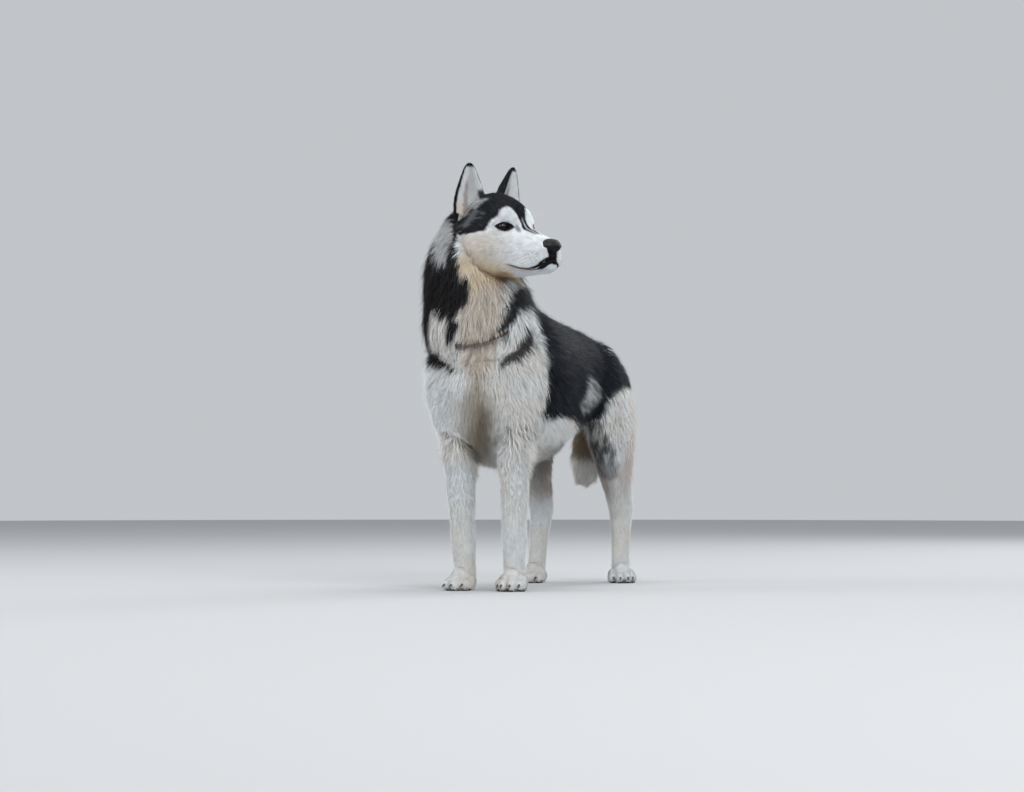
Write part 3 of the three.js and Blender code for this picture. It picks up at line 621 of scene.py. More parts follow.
def head_part():
    """Ovals along the head, smaller by the coat, each point raised by the forms round it:
    the sum of height e^-(distance / reach)^2."""
    x, top, middle, bottom, half, above, below = rows_of(HEAD, 6)
    angle = angles(96)
    c, s = oval(angle, np.where(np.sin(angle) > 0, above, below))
    outline = np.stack(np.broadcast_arrays(
        x, half * c, middle + np.where(s > 0, top - middle, middle - bottom) * s
    ), -1)
    outward = unit(np.stack(np.broadcast_arrays(0.15 + 0 * x, np.cos(angle), np.sin(angle)), -1))
    fx, fy, fz, reach, height = np.array(HEAD_FORMS).T
    sides = np.sign(outline[..., 1:2])
    centres = np.stack(np.broadcast_arrays(fx, sides * fy, fz), -1)
    away = ((outline[..., None, :] - centres) ** 2).sum(-1)
    rise = (height * np.exp(-away / reach**2)).sum(-1)
    depth = head_coat(x, s)
    points = outline + outward * (rise - depth)[..., None]
    points[..., 0] = np.clip(points[..., 0], -104, 101.5)
    down = (0.4 + 0.7 * smoothstep(-s, -0.3, 0.6)) * smoothstep(-x, -20, 70)
    lie = np.stack(np.broadcast_arrays(-1, 0, 0.25 * smoothstep(s, 0.2, 0.9) - down), -1) @ HEAD_AXES
    parts["head"] = from_head(points), depth, lie


head_part()

# height, half width, thickness, depth of the cup, to the tips of the hair
EAR_ROWS = [
    (-12, 26, 9, 14),
    (8, 34, 8, 17),
    (28, 34.5, 7, 17),
    (50, 29.5, 6, 15),
    (72, 21.5, 5.4, 10),
    (90, 14, 5, 6),
    (100, 8.5, 4.6, 3),
    (105, 3, 4, 1),
]
EAR_AT, EAR_TURN = (-78.0, 50.0, 20.0), math.radians(16)
EAR_LEAN = {1: math.radians(5), -1: math.radians(2)}  # outwards, on the left and on the right side
EAR_COAT = 1.6
EAR_FORWARD = 0.05  # the ear's tip nods forward by this share of its height
EAR_WALL = 3.4
EAR_BROAD = {1: 7.0, -1: 1.0}  # how far the back shows past the inner rim
# height, swelling of the back at the inner side
EAR_SWELL = [(0, 0.8), (40, 1), (62, 1), (82, 0.55), (96, 0.3), (106, 0.1)]


def ear_axes(side):
    """The ear's own axes in head axes: three rows, which point forward, left and up."""
    lean, turn = -side * EAR_LEAN[side], side * EAR_TURN
    leaned = np.array([[1, 0, 0], [0, math.cos(lean), math.sin(lean)], [0, -math.sin(lean), math.cos(lean)]])
    return turned(leaned, turn)


def ear_part(name, side):
    """A cupped leaf: the front bends back by cup (1 - s^2) over its width, the rear lies behind it."""
    up, half, thick, cup = rows_of(EAR_ROWS, 5)
    s = np.linspace(-1, 1, 19)[None]
    wall = np.maximum(thick - 2 * EAR_COAT, EAR_WALL) * np.sqrt(1 - 0.6 * s * s)
    front = np.stack(np.broadcast_arrays(
        6 - EAR_COAT - cup * (1 - s * s) + EAR_FORWARD * up, s * np.maximum(half - 0.3, 1.5), up
    ), -1)
    swell = smoothstep(-s * side, 0.0, 0.9) * np.interp(up, *np.array(EAR_SWELL).T)
    rear = front - np.stack([wall + 8 * swell, EAR_BROAD[side] * side * swell, 0 * wall], -1)
    own = np.concatenate([front, rear[:, ::-1]], axis=1)
    at = np.array(EAR_AT) * (1, side, 1)
    points = from_head(own @ ear_axes(side) + at)
    depth = np.full(points.shape[:2], EAR_COAT)
    outward = np.concatenate([0.25 * s, 0.25 * s[:, ::-1]], 1)
    lie = np.stack(np.broadcast_arrays(0 * outward, outward, 1 + 0 * up), -1)
    parts[name] = points, depth, lie @ ear_axes(side) @ HEAD_AXES


EARS = {"ear_left": 1, "ear_right": -1}
for name, side in EARS.items():
    ear_part(name, side)

head_points, head_faces = fused([closed(parts[name][0]) for name in ("head", *EARS)], HEAD_VOXEL)
head_points = to_head(relaxed(head_points, neighbours(head_faces), HEAD_ROUNDS, TAUBIN))

# Eyelids. Round each eye the skin sinks to the ball and ends in a slit shaped like an almond, with
# one fold above it. The lids follow the ball, so that it sits as deep as a real one.
EYE_OUT = math.radians(36)  # each eye looks this far to its side
LID_HALF, LID_RISE, LID_TILT = 13.0, 7.6, math.radians(4)
LID_THICK = 1.7
LID_REACH = 13.0  # how far from the slit the lid meets the face
CORNER_DEPTH = 7.5  # the corners of the slit lie this far before the ball's middle


def eye_axes(side):
    """Three rows in head axes: along the slit to its outer corner, across it, and the way it looks."""
    look = np.array([math.cos(EYE_OUT), side * math.sin(EYE_OUT), 0])
    outer = np.cross(look, UP) * -side
    c, s = math.cos(LID_TILT), math.sin(LID_TILT)
    return np.stack([c * outer + s * UP, c * UP - s * outer, look])


def slit(s, t):
    """How far a place lies outside the almond |t| = rise (1 - (s / half)^2), in millimetres."""
    return np.abs(t) - LID_RISE * (1 - (s / LID_HALF) ** 2)


def lid_height(s, t, more=0.0):
    """Height of the lid over the middle of the ball: the ball's own, never under the corners' depth."""
    radius = EYE_RADIUS + more
    return np.sqrt(np.maximum(radius**2 - s * s - t * t, CORNER_DEPTH**2))


def with_lids(points, side):
    """Draws the skin down to the lids, and inside the slit to just behind the ball."""
    centre = EYE_PLACE * (1, side, 1)
    axes = eye_axes(side)
    s, t, w = ((points - centre) @ axes.T).T
    out = slit(s, t)
    near = (w > 0) & (out < LID_REACH) & (np.abs(s) < 24)
    fold = -0.9 * np.exp(-(((out - 5) / 1.6) ** 2)) * (t > 0)
    lid = lid_height(s, t, LID_THICK) + fold
    share = smoothstep(out, 1.5, LID_REACH)
    outside = lid + (w - lid) * share
    inside = np.sqrt(np.maximum((EYE_RADIUS - 2.2) ** 2 - s * s - t * t, 1.0))
    w = np.where(near, np.where(out < 0, inside, outside), w)
    return np.stack([s, t, w], 1) @ axes + centre


for side in (1, -1):
    head_points = with_lids(head_points, side)

# Mouth. It is shut: a groove along the lips, from one corner round the front to the other, with a
# low swelling of the lips beside it.
LIPS = [(14, -72), (24, -75.5), (40, -80.5), (60, -83.5), (78, -84), (90, -81.5), (97, -77)]
LIP_FRONT = (102.0, 0.0, -69.5)
face_skin = to_head(parts["head"][0]).reshape(-1, 3)


def lip_line(side):
    """The points of the face nearest to each place of the lips in profile, on one side."""
    ours = face_skin[face_skin[:, 1] * side > 4]
    profile = np.array(LIPS)
    far = ((ours[None, :, [0, 2]] - profile[:, None]) ** 2).sum(-1)
    best = np.argsort(far, axis=1)[:, :4]
    weight = 1 / (np.take_along_axis(far, best, 1) + 0.05)
    y = (ours[best, 1] * weight).sum(1) / weight.sum(1)
    return np.stack([profile[:, 0], y, profile[:, 1]], 1)


def curve(points, count):
    """Catmull-Rom curve through points, cut into that many places."""
    dense = rows_of(points, 24)[:, :, 0].T
    run = np.concatenate([[0], np.cumsum(np.linalg.norm(np.diff(dense, axis=0), axis=1))])
    at = np.linspace(0, run[-1], count)
    return np.stack([np.interp(at, run, column) for column in dense.T], 1)


MOUTH_PLACES = 120
mouth = curve(np.concatenate([lip_line(1), [LIP_FRONT], lip_line(-1)[::-1]]), MOUTH_PLACES)
LIP_GROOVE, LIP_GROOVE_WIDE = 2.4, 2.2
LIP_SWELL, LIP_SWELL_AT, LIP_SWELL_WIDE = 0.9, 5.0, 2.2
INSIDE_MOUTH = np.array([40.0, 0, -70])


def away_from(points, path):
    """Distance from each point to the nearest place of a path."""
    return np.sqrt(((points[:, None] - path[None]) ** 2).sum(-1).min(1))


near_mouth = (head_points[:, 0] > 0) & (head_points[:, 2] < -50)
mouth_away = away_from(head_points[near_mouth], mouth)
pressed = LIP_GROOVE * np.exp(-((mouth_away / LIP_GROOVE_WIDE) ** 2))
pressed -= LIP_SWELL * np.exp(-(((mouth_away - LIP_SWELL_AT) / LIP_SWELL_WIDE) ** 2))
head_points[near_mouth] += unit(INSIDE_MOUTH - head_points[near_mouth]) * pressed[:, None]
head_points = from_head(head_points)

# One hide. Head, trunk and paws are joined into a single closed skin, as on a mount: dressed skin with
# the stubble of the underhair, which makes it matt and faintly rough between the locks.
skin_material, tree = new_material("hide_under_coat")
markings = add(tree, "ShaderNodeVertexColor", layer_name="markings")
place = add(tree, "ShaderNodeTexCoord")
stubble = add(tree, "ShaderNodeTexNoise", {"Vector": place.outputs["Object"], "Scale": 600.0, "Detail": 4.0})
relief = add(tree, "ShaderNodeBump", {"Strength": 0.5, "Distance": 0.0006, "Height": stubble.outputs["Fac"]})
finished(tree, {
    "Base Color": markings.outputs["Color"],
    "Roughness": 0.85,
    "Specular IOR Level": 0.08,
    "Normal": relief.outputs["Normal"],
})


def joined_skin():
    """The union of the three skins by Blender's manifold solver, as triangles."""
    body = shown("hide", mesh_of("hide", body_points, body_faces), skin_material)
    others = [
        shown("head_hide", mesh_of("head_hide", head_points, head_faces), skin_material),
        shown("paw_hide", mesh_of("paw_hide", paw_points, paw_faces), skin_material),
    ]
    for other in others:
        union = body.modifiers.new("union", "BOOLEAN")
        union.operation, union.solver, union.object = "UNION", "MANIFOLD", other
    points, made = evaluated(body)
    for other in others:
        leftover = other.data
        bpy.data.objects.remove(other)
        bpy.data.meshes.remove(leftover)
    made.calc_loop_triangles()
    triangles = np.empty(len(made.loop_triangles) * 3, np.int32)
    made.loop_triangles.foreach_get("vertices", triangles)
    bpy.data.meshes.remove(made)
    return points, triangles.reshape(-1, 3)


def normals_of(mesh):
    """The normal at each point of a mesh."""
    normals = np.empty(len(mesh.vertices) * 3, np.float32)
    mesh.vertices.foreach_get("normal", normals)
    return normals.reshape(-1, 3)


skin_points, skin_faces = joined_skin()
skin_edges = neighbours(skin_faces)
# Where the parts meet, the seam is relaxed: under the throat, on the nape, across the breast and
# where the forelegs leave it. The hollows that are left there are filled, as loose skin fills them.
SEAM_ROUNDS, FILL_ROUNDS, AFTER_ROUNDS = 50, 160, 6
FILL_MOST = 22.0
head_x, up_head = to_head(skin_points)[:, 0], to_head(skin_points)[:, 2]
ahead, height = -skin_points[:, 1], skin_points[:, 2]
throat = smoothstep(-up_head, 50, 80) * smoothstep(-head_x, -6, 24)
nape = smoothstep(-head_x, 70, 96) * smoothstep(-up_head, -70, -20)
seam = np.maximum(throat, nape) * smoothstep(up_head, -190, -150)
breast = smoothstep(height, 380, 420) * smoothstep(500 - height, 0, 30) * smoothstep(110 + ahead, 0, 60)
elbow = smoothstep(height, 255, 300) * smoothstep(400 - height, 0, 30) * smoothstep(110 + ahead, 0, 30)
seam = np.maximum(np.maximum(seam, breast), elbow)
skin_points += (relaxed(skin_points, skin_edges, SEAM_ROUNDS) - skin_points) * seam[:, None]
rough_mesh = mesh_of("hide_rough", skin_points, skin_faces)
rough_normals = normals_of(rough_mesh)
bpy.data.meshes.remove(rough_mesh)
ahead, height = -skin_points[:, 1], skin_points[:, 2]
filling = smoothstep(height, 225, 262) * smoothstep(440 - height, 0, 30) * smoothstep(120 + ahead, 0, 30)
hollow = ((relaxed(skin_points, skin_edges, FILL_ROUNDS) - skin_points) * rough_normals).sum(1)
filled = np.clip(hollow, 0, FILL_MOST) * np.maximum(filling, throat * seam)
skin_points += rough_normals * filled[:, None]
skin_points += (relaxed(skin_points, skin_edges, AFTER_ROUNDS) - skin_points) * filling[:, None]
skin_mesh = mesh_of("hide", skin_points, skin_faces)
skin_normals = normals_of(skin_mesh)

# The coat's depth, lie and part come to each point of the skin from the nearest point of the
# parts' own rings, and are relaxed over the skin, so that they flow on where two parts meet.
part_names = list(parts)
guide_points = np.concatenate([points.reshape(-1, 3) for points, _, _ in parts.values()])
guide_values = np.concatenate([
    np.concatenate([np.broadcast_to(depth, points.shape[:2]).reshape(-1, 1), unit(lie).reshape(-1, 3)], 1)
    for points, depth, lie in parts.values()
])
guide_part = np.concatenate([
    np.full(points.shape[0] * points.shape[1], k) for k, (points, _, _) in enumerate(parts.values())
])
BLOCK = 64


def nearest(points, others):
    """Index of the closest of the others to each point: the least |b|^2 - 2 a.b, in blocks of points."""
    table = np.c_[-2 * others, (others**2).sum(1)].T.astype(np.float32)
    blocks = np.array_split(np.c_[points, np.ones(len(points))].astype(np.float32), len(points) // BLOCK + 1)
    return np.concatenate([np.argmin(block @ table, axis=1) for block in blocks])


guide = nearest(skin_points, guide_points)
FLOW_ROUNDS, HIP_ROUNDS = 24, 90
flow = relaxed(guide_values[guide], skin_edges, FLOW_ROUNDS)
skin_depth = flow[:, 0]
hip = smoothstep(skin_points[:, 1], 290, 340) * smoothstep(skin_points[:, 2], 330, 390)
hip_lie = relaxed(flow[:, 1:], skin_edges, HIP_ROUNDS)
skin_lie = flow[:, 1:] + (hip_lie - flow[:, 1:]) * hip[:, None]
skin_part = guide_part[guide]

# Markings. The coat is black and white, warm on cheeks and throat and bluish on the saddle. A marking
# is an outline or a stroke in millimetres, soft at its edge and ragged there by the locks.
WHITE, WARM_WHITE, COOL_WHITE = linear("#E8E6E1"), linear("#E9DED0"), linear("#E4EAEE")
CREAM, TAN, RUST = linear("#E6D2B2"), linear("#CBA877"), linear("#8A5F36")
BLACK, BLUE_BLACK, BROWN_BLACK = linear("#0A0A0D"), linear("#0F1218"), linear("#120D0C")
GREY, PALE_GREY, TAUPE = linear("#6E6F73"), linear("#BFC1C2"), linear("#94866F")
BROWN, PINK_BEIGE, LIP_PINK = linear("#54402A"), linear("#CDBBB0"), linear("#B58A7E")
# the pale of the ear's cup, and the pinkish grey of the painted shade in its fold
EAR_PALE, EAR_PINK_SHADE = linear("#E2E6E7"), linear("#A19292")


def noise(points, size, seed):
    """Smooth noise from -1 to 1: values at the corners of cubes of that size, blended by 3t^2 - 2t^3."""
    place = points / size + seed * 17.3
    cell = np.floor(place).astype(np.int64)
    f = place - cell
    f = f * f * (3 - 2 * f)
    total = np.zeros(len(points))
    for corner in np.ndindex(2, 2, 2):
        x, y, z = (cell + corner).T
        mixed = (x * 73856093) ^ (y * 19349663) ^ (z * 83492791) ^ (seed * 2654435761)
        mixed = (mixed ^ (mixed >> 13)) * 1274126177
        value = ((mixed ^ (mixed >> 16)) & 0xFFFF) / 32768.0 - 1
        weight = np.prod(np.where(corner, f, 1 - f), axis=1)
        total += value * weight
    return total


def stroke(places, path, soft):
    """1 inside a path of places with a radius, 0 outside: the radius less the distance to the nearest
    piece of the path, over the softness."""
    best = np.full(len(places), -1e9)
    for (*a, ra), (*b, rb) in zip(path[:-1], path[1:]):
        run = np.subtract(b, a)
        t = np.clip((places - a) @ run / max(run @ run, 1e-9), 0, 1)
        away = np.linalg.norm(places - (a + t[:, None] * run), axis=1)
        best = np.maximum(best, ra + (rb - ra) * t - away)
    return smoothstep(best, -soft / 2, soft / 2)


def patch(places, outline, soft):
    """1 inside a closed outline in a plane, 0 outside: the distance to its nearest side, counted
    positive where a line to the right crosses the sides an odd number of times."""
    x, y = places.T
    away = np.full(len(places), 1e9)
    inside = np.zeros(len(places), bool)
    for (ax, ay), (bx, by) in zip(outline, outline[1:] + outline[:1]):
        along, up = bx - ax, by - ay
        t = np.clip(((x - ax) * along + (y - ay) * up) / (along**2 + up**2), 0, 1)
        away = np.minimum(away, np.hypot(x - ax - t * along, y - ay - t * up))
        if ay != by:
            inside ^= ((ay > y) != (by > y)) & (x < ax + (y - ay) * along / up)
    return smoothstep(np.where(inside, away, -away), -soft / 2, soft / 2)


def laid(colour, paint_colour, share):
    """Colour mixed towards another by a share for each point."""
    return colour + (paint_colour - colour) * share[:, None]


# The face's outlines lie in an upright plane turned 48 degrees from the middle of the head, the
# same for both halves: 0.669 forward - 0.743 sideways, and the height, from the head's own origin.
FACE_FORWARD, FACE_ASIDE = 0.669, 0.743
MASK = [
    (-127, -14), (-111, -14), (-94, -13), (-77, -10), (-60, -7), (-55, 2), (-51, 9), (-46, 15),
    (-38, 19), (-34, 24), (-31, 31), (-27, 37), (-20, 40), (-12, 38), (-5, 32), (1, 25), (7, 17),
    (10, 9), (10, 2), (12, -5), (20, -10), (36, -16), (160, -23), (160, -197), (-163, -197),
    (-132, -80), (-125, -69), (-127, -46),
]
CHEEK_CREAM = [(-118, -74, 10), (-70, -82, 18), (-30, -98, 20)]
JAW_TAN = [(-60, -96, 8), (-24, -102, 12)]
TEMPLE_STREAKS = [(-70, 26, 6), (-88, 14, 9), (-106, 1, 5)]
TEMPLE_GREY = [(-79, 32, 5), (-88, 18, 6), (-96, 6, 4)]
BEFORE_EAR = [(-52, 60, 2.5), (-68, 51, 3.5), (-80, 40, 4)]
EAR_ROOT = [(-52, 61, 4), (-66, 66, 6)]
BEHIND_EAR = [(-97, 26, 1.8), (-109, 20, 3), (-119, 12, 4)]
# forward, aside, up and radius, on both halves
STRIPE = [(15, 0, 24, 10), (27, 0, 4, 6.5), (40, 0, -6, 5), (60, 0, -14, 3)]
# painted shade in the hollow by the inner corner of each eye
INNER_EYE_SHADE = [(20, 19, 3, 3), (28, 21, -6, 5), (34, 20, -14, 3)]
# how far along the muzzle, and how far the black of the lips reaches there
LIP_MARGIN = [(10, 3.0), (40, 4.2), (62, 6.0), (76, 8.5), (88, 10), (98, 11.5)]
LIP_END = (101, -71)
PHILTRUM = 12.0  # half width of the black under the nose
# Whiskers grow in four rows on each pad.
WHISKER_ROOTS = np.array([
    (60 + 10 * k + 2.5 * row, 37.5 - 1.9 * k - 0.9 * row, -53 - 5.2 * row - 0.7 * k)
    for row in range(4)
    for k in range(4)
])


def rim(s, t):
    """How far a place lies outside the dark rim of the lids, an almond longer than the slit."""
    return np.abs(t) - (LID_RISE + 0.6) * (1 - (s / (LID_HALF + 5.5)) ** 2) + 0.6


def on_eye(own, side):
    """Points in head axes as places along the slit, across it and outwards, from the eyeball's middle."""
    return ((own - EYE_PLACE * (1, side, 1)) @ eye_axes(side).T).T


def face_skin_colour(colour, own, flat):
    """The pale face inside the mask: cool white, warmer low and behind, cream and tan under the jaw."""
    x, y, z = own.T
    here = smoothstep(z, -112, -92) * smoothstep(x, -122, -106)
    colour = laid(colour, BLACK, here)
    face = patch(flat, MASK, 3.5) * here * (1 - smoothstep(-x - 0.45 * np.abs(y), 50, 60))
    warm = 0.85 * smoothstep(30 - x, -20, 60) * smoothstep(-z, -8, 36)
    pale = laid(np.broadcast_to(COOL_WHITE, colour.shape), WARM_WHITE, warm)
    pale = laid(pale, CREAM, 0.8 * stroke(flat, CHEEK_CREAM, 26))
    pale = laid(pale, TAN, 0.55 * stroke(flat, JAW_TAN, 16))
    pale = laid(pale, TAUPE, 0.16 * smoothstep(noise(own * (0.3, 1, 1), 5, 7), 0.1, 0.7))
    return colour + (pale - colour) * face[:, None]


def head_colour(colour, points):
    """Mask of the face: black cap and stripe, white brows, pale cheeks, the same on both sides."""
    own = to_head(points)
    x, y, z = own.T
    aside = np.abs(y)
    ragged = (0.9 + 0.9 * smoothstep(-x, 0, 40)) * (noise(own, 6, 3) + 0.6 * noise(own, 2.6, 4))
    half = np.stack([x, aside, z], 1)
    farther = aside + 4 * smoothstep(y, 0, 8)  # the far half's outline lies a little further in
    flat = np.stack([FACE_FORWARD * x - FACE_ASIDE * farther + 0.7 * ragged, z + ragged], 1)
    colour = face_skin_colour(colour, own, flat)
    # stripe of the forehead on to the muzzle, with its pale middle line
    off_middle = np.abs(y + 2.5)
    colour = laid(colour, BLACK, stroke(np.stack([x, off_middle, z], 1), STRIPE, 3))
    line = smoothstep(1.2 + 0.02 * (20 - z) - off_middle, -0.9, 0.9)
    line *= smoothstep(x, 10, 16) * smoothstep(20 - z, -2, 8)
    colour = laid(colour, COOL_WHITE, 0.7 * line)
    # painted shade in the hollow by each eye's inner corner
    colour = laid(colour, GREY, 0.75 * stroke(half, INNER_EYE_SHADE, 6))
    # grey streaks over the temple, pale ones before and behind the ear
    # the streaky grey over the temple is partly grey hairs and partly painted highlight on the glossy black
    streaky = smoothstep(noise(own * (0.5, 1, 1), 4, 8), -0.5, 0.5)
    colour = laid(colour, GREY, 0.75 * streaky * stroke(flat, TEMPLE_STREAKS, 12))
    colour = laid(colour, GREY, 0.8 * stroke(flat, TEMPLE_GREY, 8))
    colour = laid(colour, PALE_GREY, 0.8 * stroke(flat, BEFORE_EAR, 4))
    colour = laid(colour, BLACK, stroke(flat, EAR_ROOT, 4))
    colour = laid(colour, PALE_GREY, 0.9 * smoothstep(aside, 54, 66) * stroke(flat, BEHIND_EAR, 4))
    # lips, the black front under the nose, which is bare black lip and painted shade under the nose, and
    # whisker dots
    away = away_from(own, mouth[::3])
    under = z < np.interp(x, *np.array([*LIPS, LIP_END]).T)
    pink = 0.4 * smoothstep(x, 4, 20) * smoothstep(70 - x, -6, 10) * smoothstep(7 - away, -3, 3)
    colour = laid(colour, LIP_PINK, pink * under)
    margin = np.interp(x, *np.array(LIP_MARGIN).T)
    margin = margin * np.where(under, 0.35 + 0.2 * smoothstep(x, 82, 96), 1) + 0.5 * ragged
    margin *= 1 - 0.6 * smoothstep(y, 6, 13) * smoothstep(x, 84, 92)
    colour = laid(colour, BROWN_BLACK, smoothstep(margin - away, -0.9, 0.9) * smoothstep(x, 10, 16))
    # the black under the nose is partly the bare lip and partly painted shade
    front = smoothstep(PHILTRUM - aside + 0.5 * ragged, -1, 1) * smoothstep(x, 88, 91) * ~under
    colour = laid(colour, BLACK, front * smoothstep(-z, 48, 52))
    colour = laid(colour, GREY, 0.75 * smoothstep(1.5 - away_from(half, WHISKER_ROOTS), -0.8, 0.8))
    for side in (1, -1):
        s, t, w = on_eye(own, side)
        colour = laid(colour, BLACK, smoothstep(2.4 - rim(s, t), -1.0, 1.0) * (w > 0))
    return colour


# side: share of the half width where the black rims begin, outer and inner
EAR_RIMS = {1: (0.95, 0.5), -1: (0.76, 1.02)}
RIM_SOFT = 0.07


def ear_colour(colour, points):
    """Ears: black behind and round the rims, pale and woolly in the cup, with painted shade along the fold of
    the cup and on its inner side.
    """
    for side in (1, -1):
        own = (to_head(points) - np.array(EAR_AT) * (1, side, 1)) @ ear_axes(side).T
        f, across, up = own.T
        row_up, row_half, row_thick, row_cup = np.array(EAR_ROWS).T
        s = np.clip(across / np.interp(up, row_up, row_half), -1.3, 1.3)
        middle = 6 - np.interp(up, row_up, row_cup) * (1 - np.minimum(s * s, 1)) + EAR_FORWARD * up
        middle -= np.interp(up, row_up, row_thick) / 2
        outer = s * side + 0.07 * noise(points, 5, 12)
        here = smoothstep(up, 0, 12) * (np.abs(s) < 1.29) * (np.abs(f - middle) < 22)
        inside = smoothstep(f - middle, -0.8, 0.8)
        colour = laid(colour, BLACK, here * (1 - inside))
        # painted shade: a pinkish grey shadow along the fold of the cup, and grey shade on its inner side
        crease = smoothstep(0.16 - np.abs(outer - 0.08), -0.1, 0.1) * smoothstep(84 - up, 0, 24)
        shade = smoothstep(0.3 - np.abs(outer + 0.3), -0.2, 0.2) * smoothstep(up, 10, 60)
        root = smoothstep(32 - up, -10, 14) * smoothstep(outer, 0.1, 0.5)
        tuft = smoothstep(-outer, 0.5, 0.75) * smoothstep(58 - up, 0, 7) * smoothstep(up, 24, 34)
        cup = laid(np.broadcast_to(EAR_PALE, colour.shape), EAR_PINK_SHADE, 0.8 * crease)
        cup = laid(cup, GREY, 0.35 * shade)
        cup = laid(cup, CREAM, 0.6 * root)
        cup = laid(cup, BLACK, 0.95 * tuft)
        outer_rim, inner_rim = EAR_RIMS[side]
        edge = np.maximum(
            smoothstep(outer, outer_rim - RIM_SOFT, outer_rim + RIM_SOFT),
            smoothstep(-outer, inner_rim - RIM_SOFT, inner_rim + RIM_SOFT),
        )
        cup = laid(cup, BLACK, np.maximum(edge, smoothstep(up, 97, 101)))
        colour = colour + (cup - colour) * (here * inside)[:, None]
    return colour


# Neck and breast have their outlines in the upright plane that the photo shows, turned 24 degrees to
# the left of straight ahead: 0.9135 x + 0.4067 y, and the height.
PHOTO_ACROSS, PHOTO_BACK = 0.9135, 0.4067


def as_photographed(points):
    """Points of the dog's frame in the plane of the photo."""
    return np.stack([PHOTO_ACROSS * points[:, 0] + PHOTO_BACK * points[:, 1], points[:, 2]], 1)


def behind_middle(points):
    """How far a point lies behind the upright plane through the middle of the neck."""
    return -12 - (PHOTO_BACK * points[:, 0] - PHOTO_ACROSS * points[:, 1])


# The outlines of the flank lie in the side plane: how far back, and the height. The saddle runs
# down into a band over the thigh, and a pale patch lies on the hip.
SADDLE = [
    (20, 700), (20, 520), (30, 500), (34, 484), (24, 468), (18, 445), (11, 414), (9, 389), (14, 366),
    (12, 345), (14, 333), (76, 331), (120, 335), (172, 331), (222, 322), (264, 309), (300, 285),
    (340, 258), (380, 226), (404, 204), (425, 215), (402, 248), (362, 292), (345, 314), (335, 330),
    (345, 350), (348, 366), (384, 388), (450, 400), (500, 402), (620, 372), (620, 700),
]
HIP = [
    (231, 400), (257, 417), (290, 412), (323, 396), (335, 382), (320, 370), (303, 364), (266, 349),
    (228, 348), (190, 361), (214, 372), (233, 382),
]
# strokes low on the breast, partly taupe and brown coat and partly painted shade: across, height and radius
CHEST_SHADE = [(-22, 412, 8), (-22, 375, 22), (-20, 327, 32), (-18, 280, 32)]
CHEST_BROWN_AND_SHADE = [(-12, 345, 8), (-14, 315, 16), (-14, 262, 18)]


def trunk_colour(points):
    """Saddle, hip and flank of the trunk, and white below, the same on both sides. Returns also the
    points as the locks' raggedness shifts them."""
    ragged = noise(points * (1, 1, 0.7), 15, 1) + 0.7 * noise(points, 6, 2)
    warped = points + ragged[:, None] * (3, 4.5, 4.5)
    x, y, z = warped.T
    wide = np.abs(x)
    side = warped[:, 1:]
    colour = np.broadcast_to(WHITE, points.shape).copy()
    colour = laid(colour, COOL_WHITE, 0.8 * smoothstep(noise(points, 60, 5), -0.6, 0.5))
    # taupe low on the chest and on the inner sides of the legs, partly the coat's own tone and partly painted
    # shade
    flat = as_photographed(warped)
    shaded = stroke(flat, CHEST_SHADE, 40) * smoothstep(30 - y, 0, 60)
    colour = laid(colour, TAUPE, 0.7 * shaded)
    # brown lowest on the breast between the forelegs: partly brown coat, partly painted shade
    brown_and_shade = stroke(flat, CHEST_BROWN_AND_SHADE, 26) * smoothstep(60 - y, 0, 60)
    colour = laid(colour, BROWN, 0.6 * brown_and_shade)
    inner = smoothstep(42 - np.abs(x + 2), 0, 30) * smoothstep(200 - y, 0, 80) * smoothstep(300 - z, 0, 60)
    colour = laid(colour, TAUPE, 0.3 * inner)
    # brown under the belly and between the thighs, partly the coat's rusty tone and partly painted shade;
    # cream and pink on their rear
    belly = smoothstep(290 - z, -6, 16) * smoothstep(y, 60, 160) * smoothstep(z, 150, 200)
    colour = laid(colour, BROWN, 0.6 * belly * smoothstep(86 - wide, -10, 16))
    within = smoothstep(60 - wide, -6, 18) * smoothstep(y, 290, 370) * smoothstep(z, 150, 210)
    colour = laid(colour, BROWN, 0.7 * within * smoothstep(350 - z, -10, 30))
    rear = smoothstep(y - 0.25 * (z - 200), 385, 440) * smoothstep(z, 150, 230) * smoothstep(wide, 34, 66)
    colour = laid(colour, PINK_BEIGE, 0.7 * rear)
    # saddle, whose band over the thigh thins out downwards, and the hip patch streaked with black
    saddle = patch(side, SADDLE, 9) * np.where(z < 320, smoothstep(wide, 50, 70), 1)
    thinned = 0.12 + 0.4 * smoothstep(noise(points * (1, 1, 0.4), 8, 15), -0.1, 0.5)
    saddle *= 1 - smoothstep(335 - z, 0, 30) * thinned
    saddle *= 1 - 0.45 * smoothstep(270 - z, 0, 50)
    colour = laid(colour, BLUE_BLACK, saddle)
    streaks = smoothstep(noise(points * (1, 0.35, 1.2), 7, 9), -0.5, 0.5)
    hip = patch(side, HIP, 14) * smoothstep(wide, 50, 80)
    colour = laid(colour, PALE_GREY, hip * (0.25 + 0.7 * streaks))
    colour = laid(colour, BLACK, smoothstep(z - 490, -12, 24) * smoothstep(y, 20, 50))
    # the pale fringe behind the shoulder is streaked
    fringe = smoothstep(y, -18, 2) * smoothstep(26 - y, -8, 14) * smoothstep(wide, 66, 90)
    fringe *= smoothstep(500 - z, -10, 20) * smoothstep(z, 325, 350)
    streaks = smoothstep(noise(points * (1, 0.3, 1.2), 5, 13), 0.1, 0.55)
    colour = laid(colour, GREY, 0.6 * fringe * streaks)
    return colour, warped


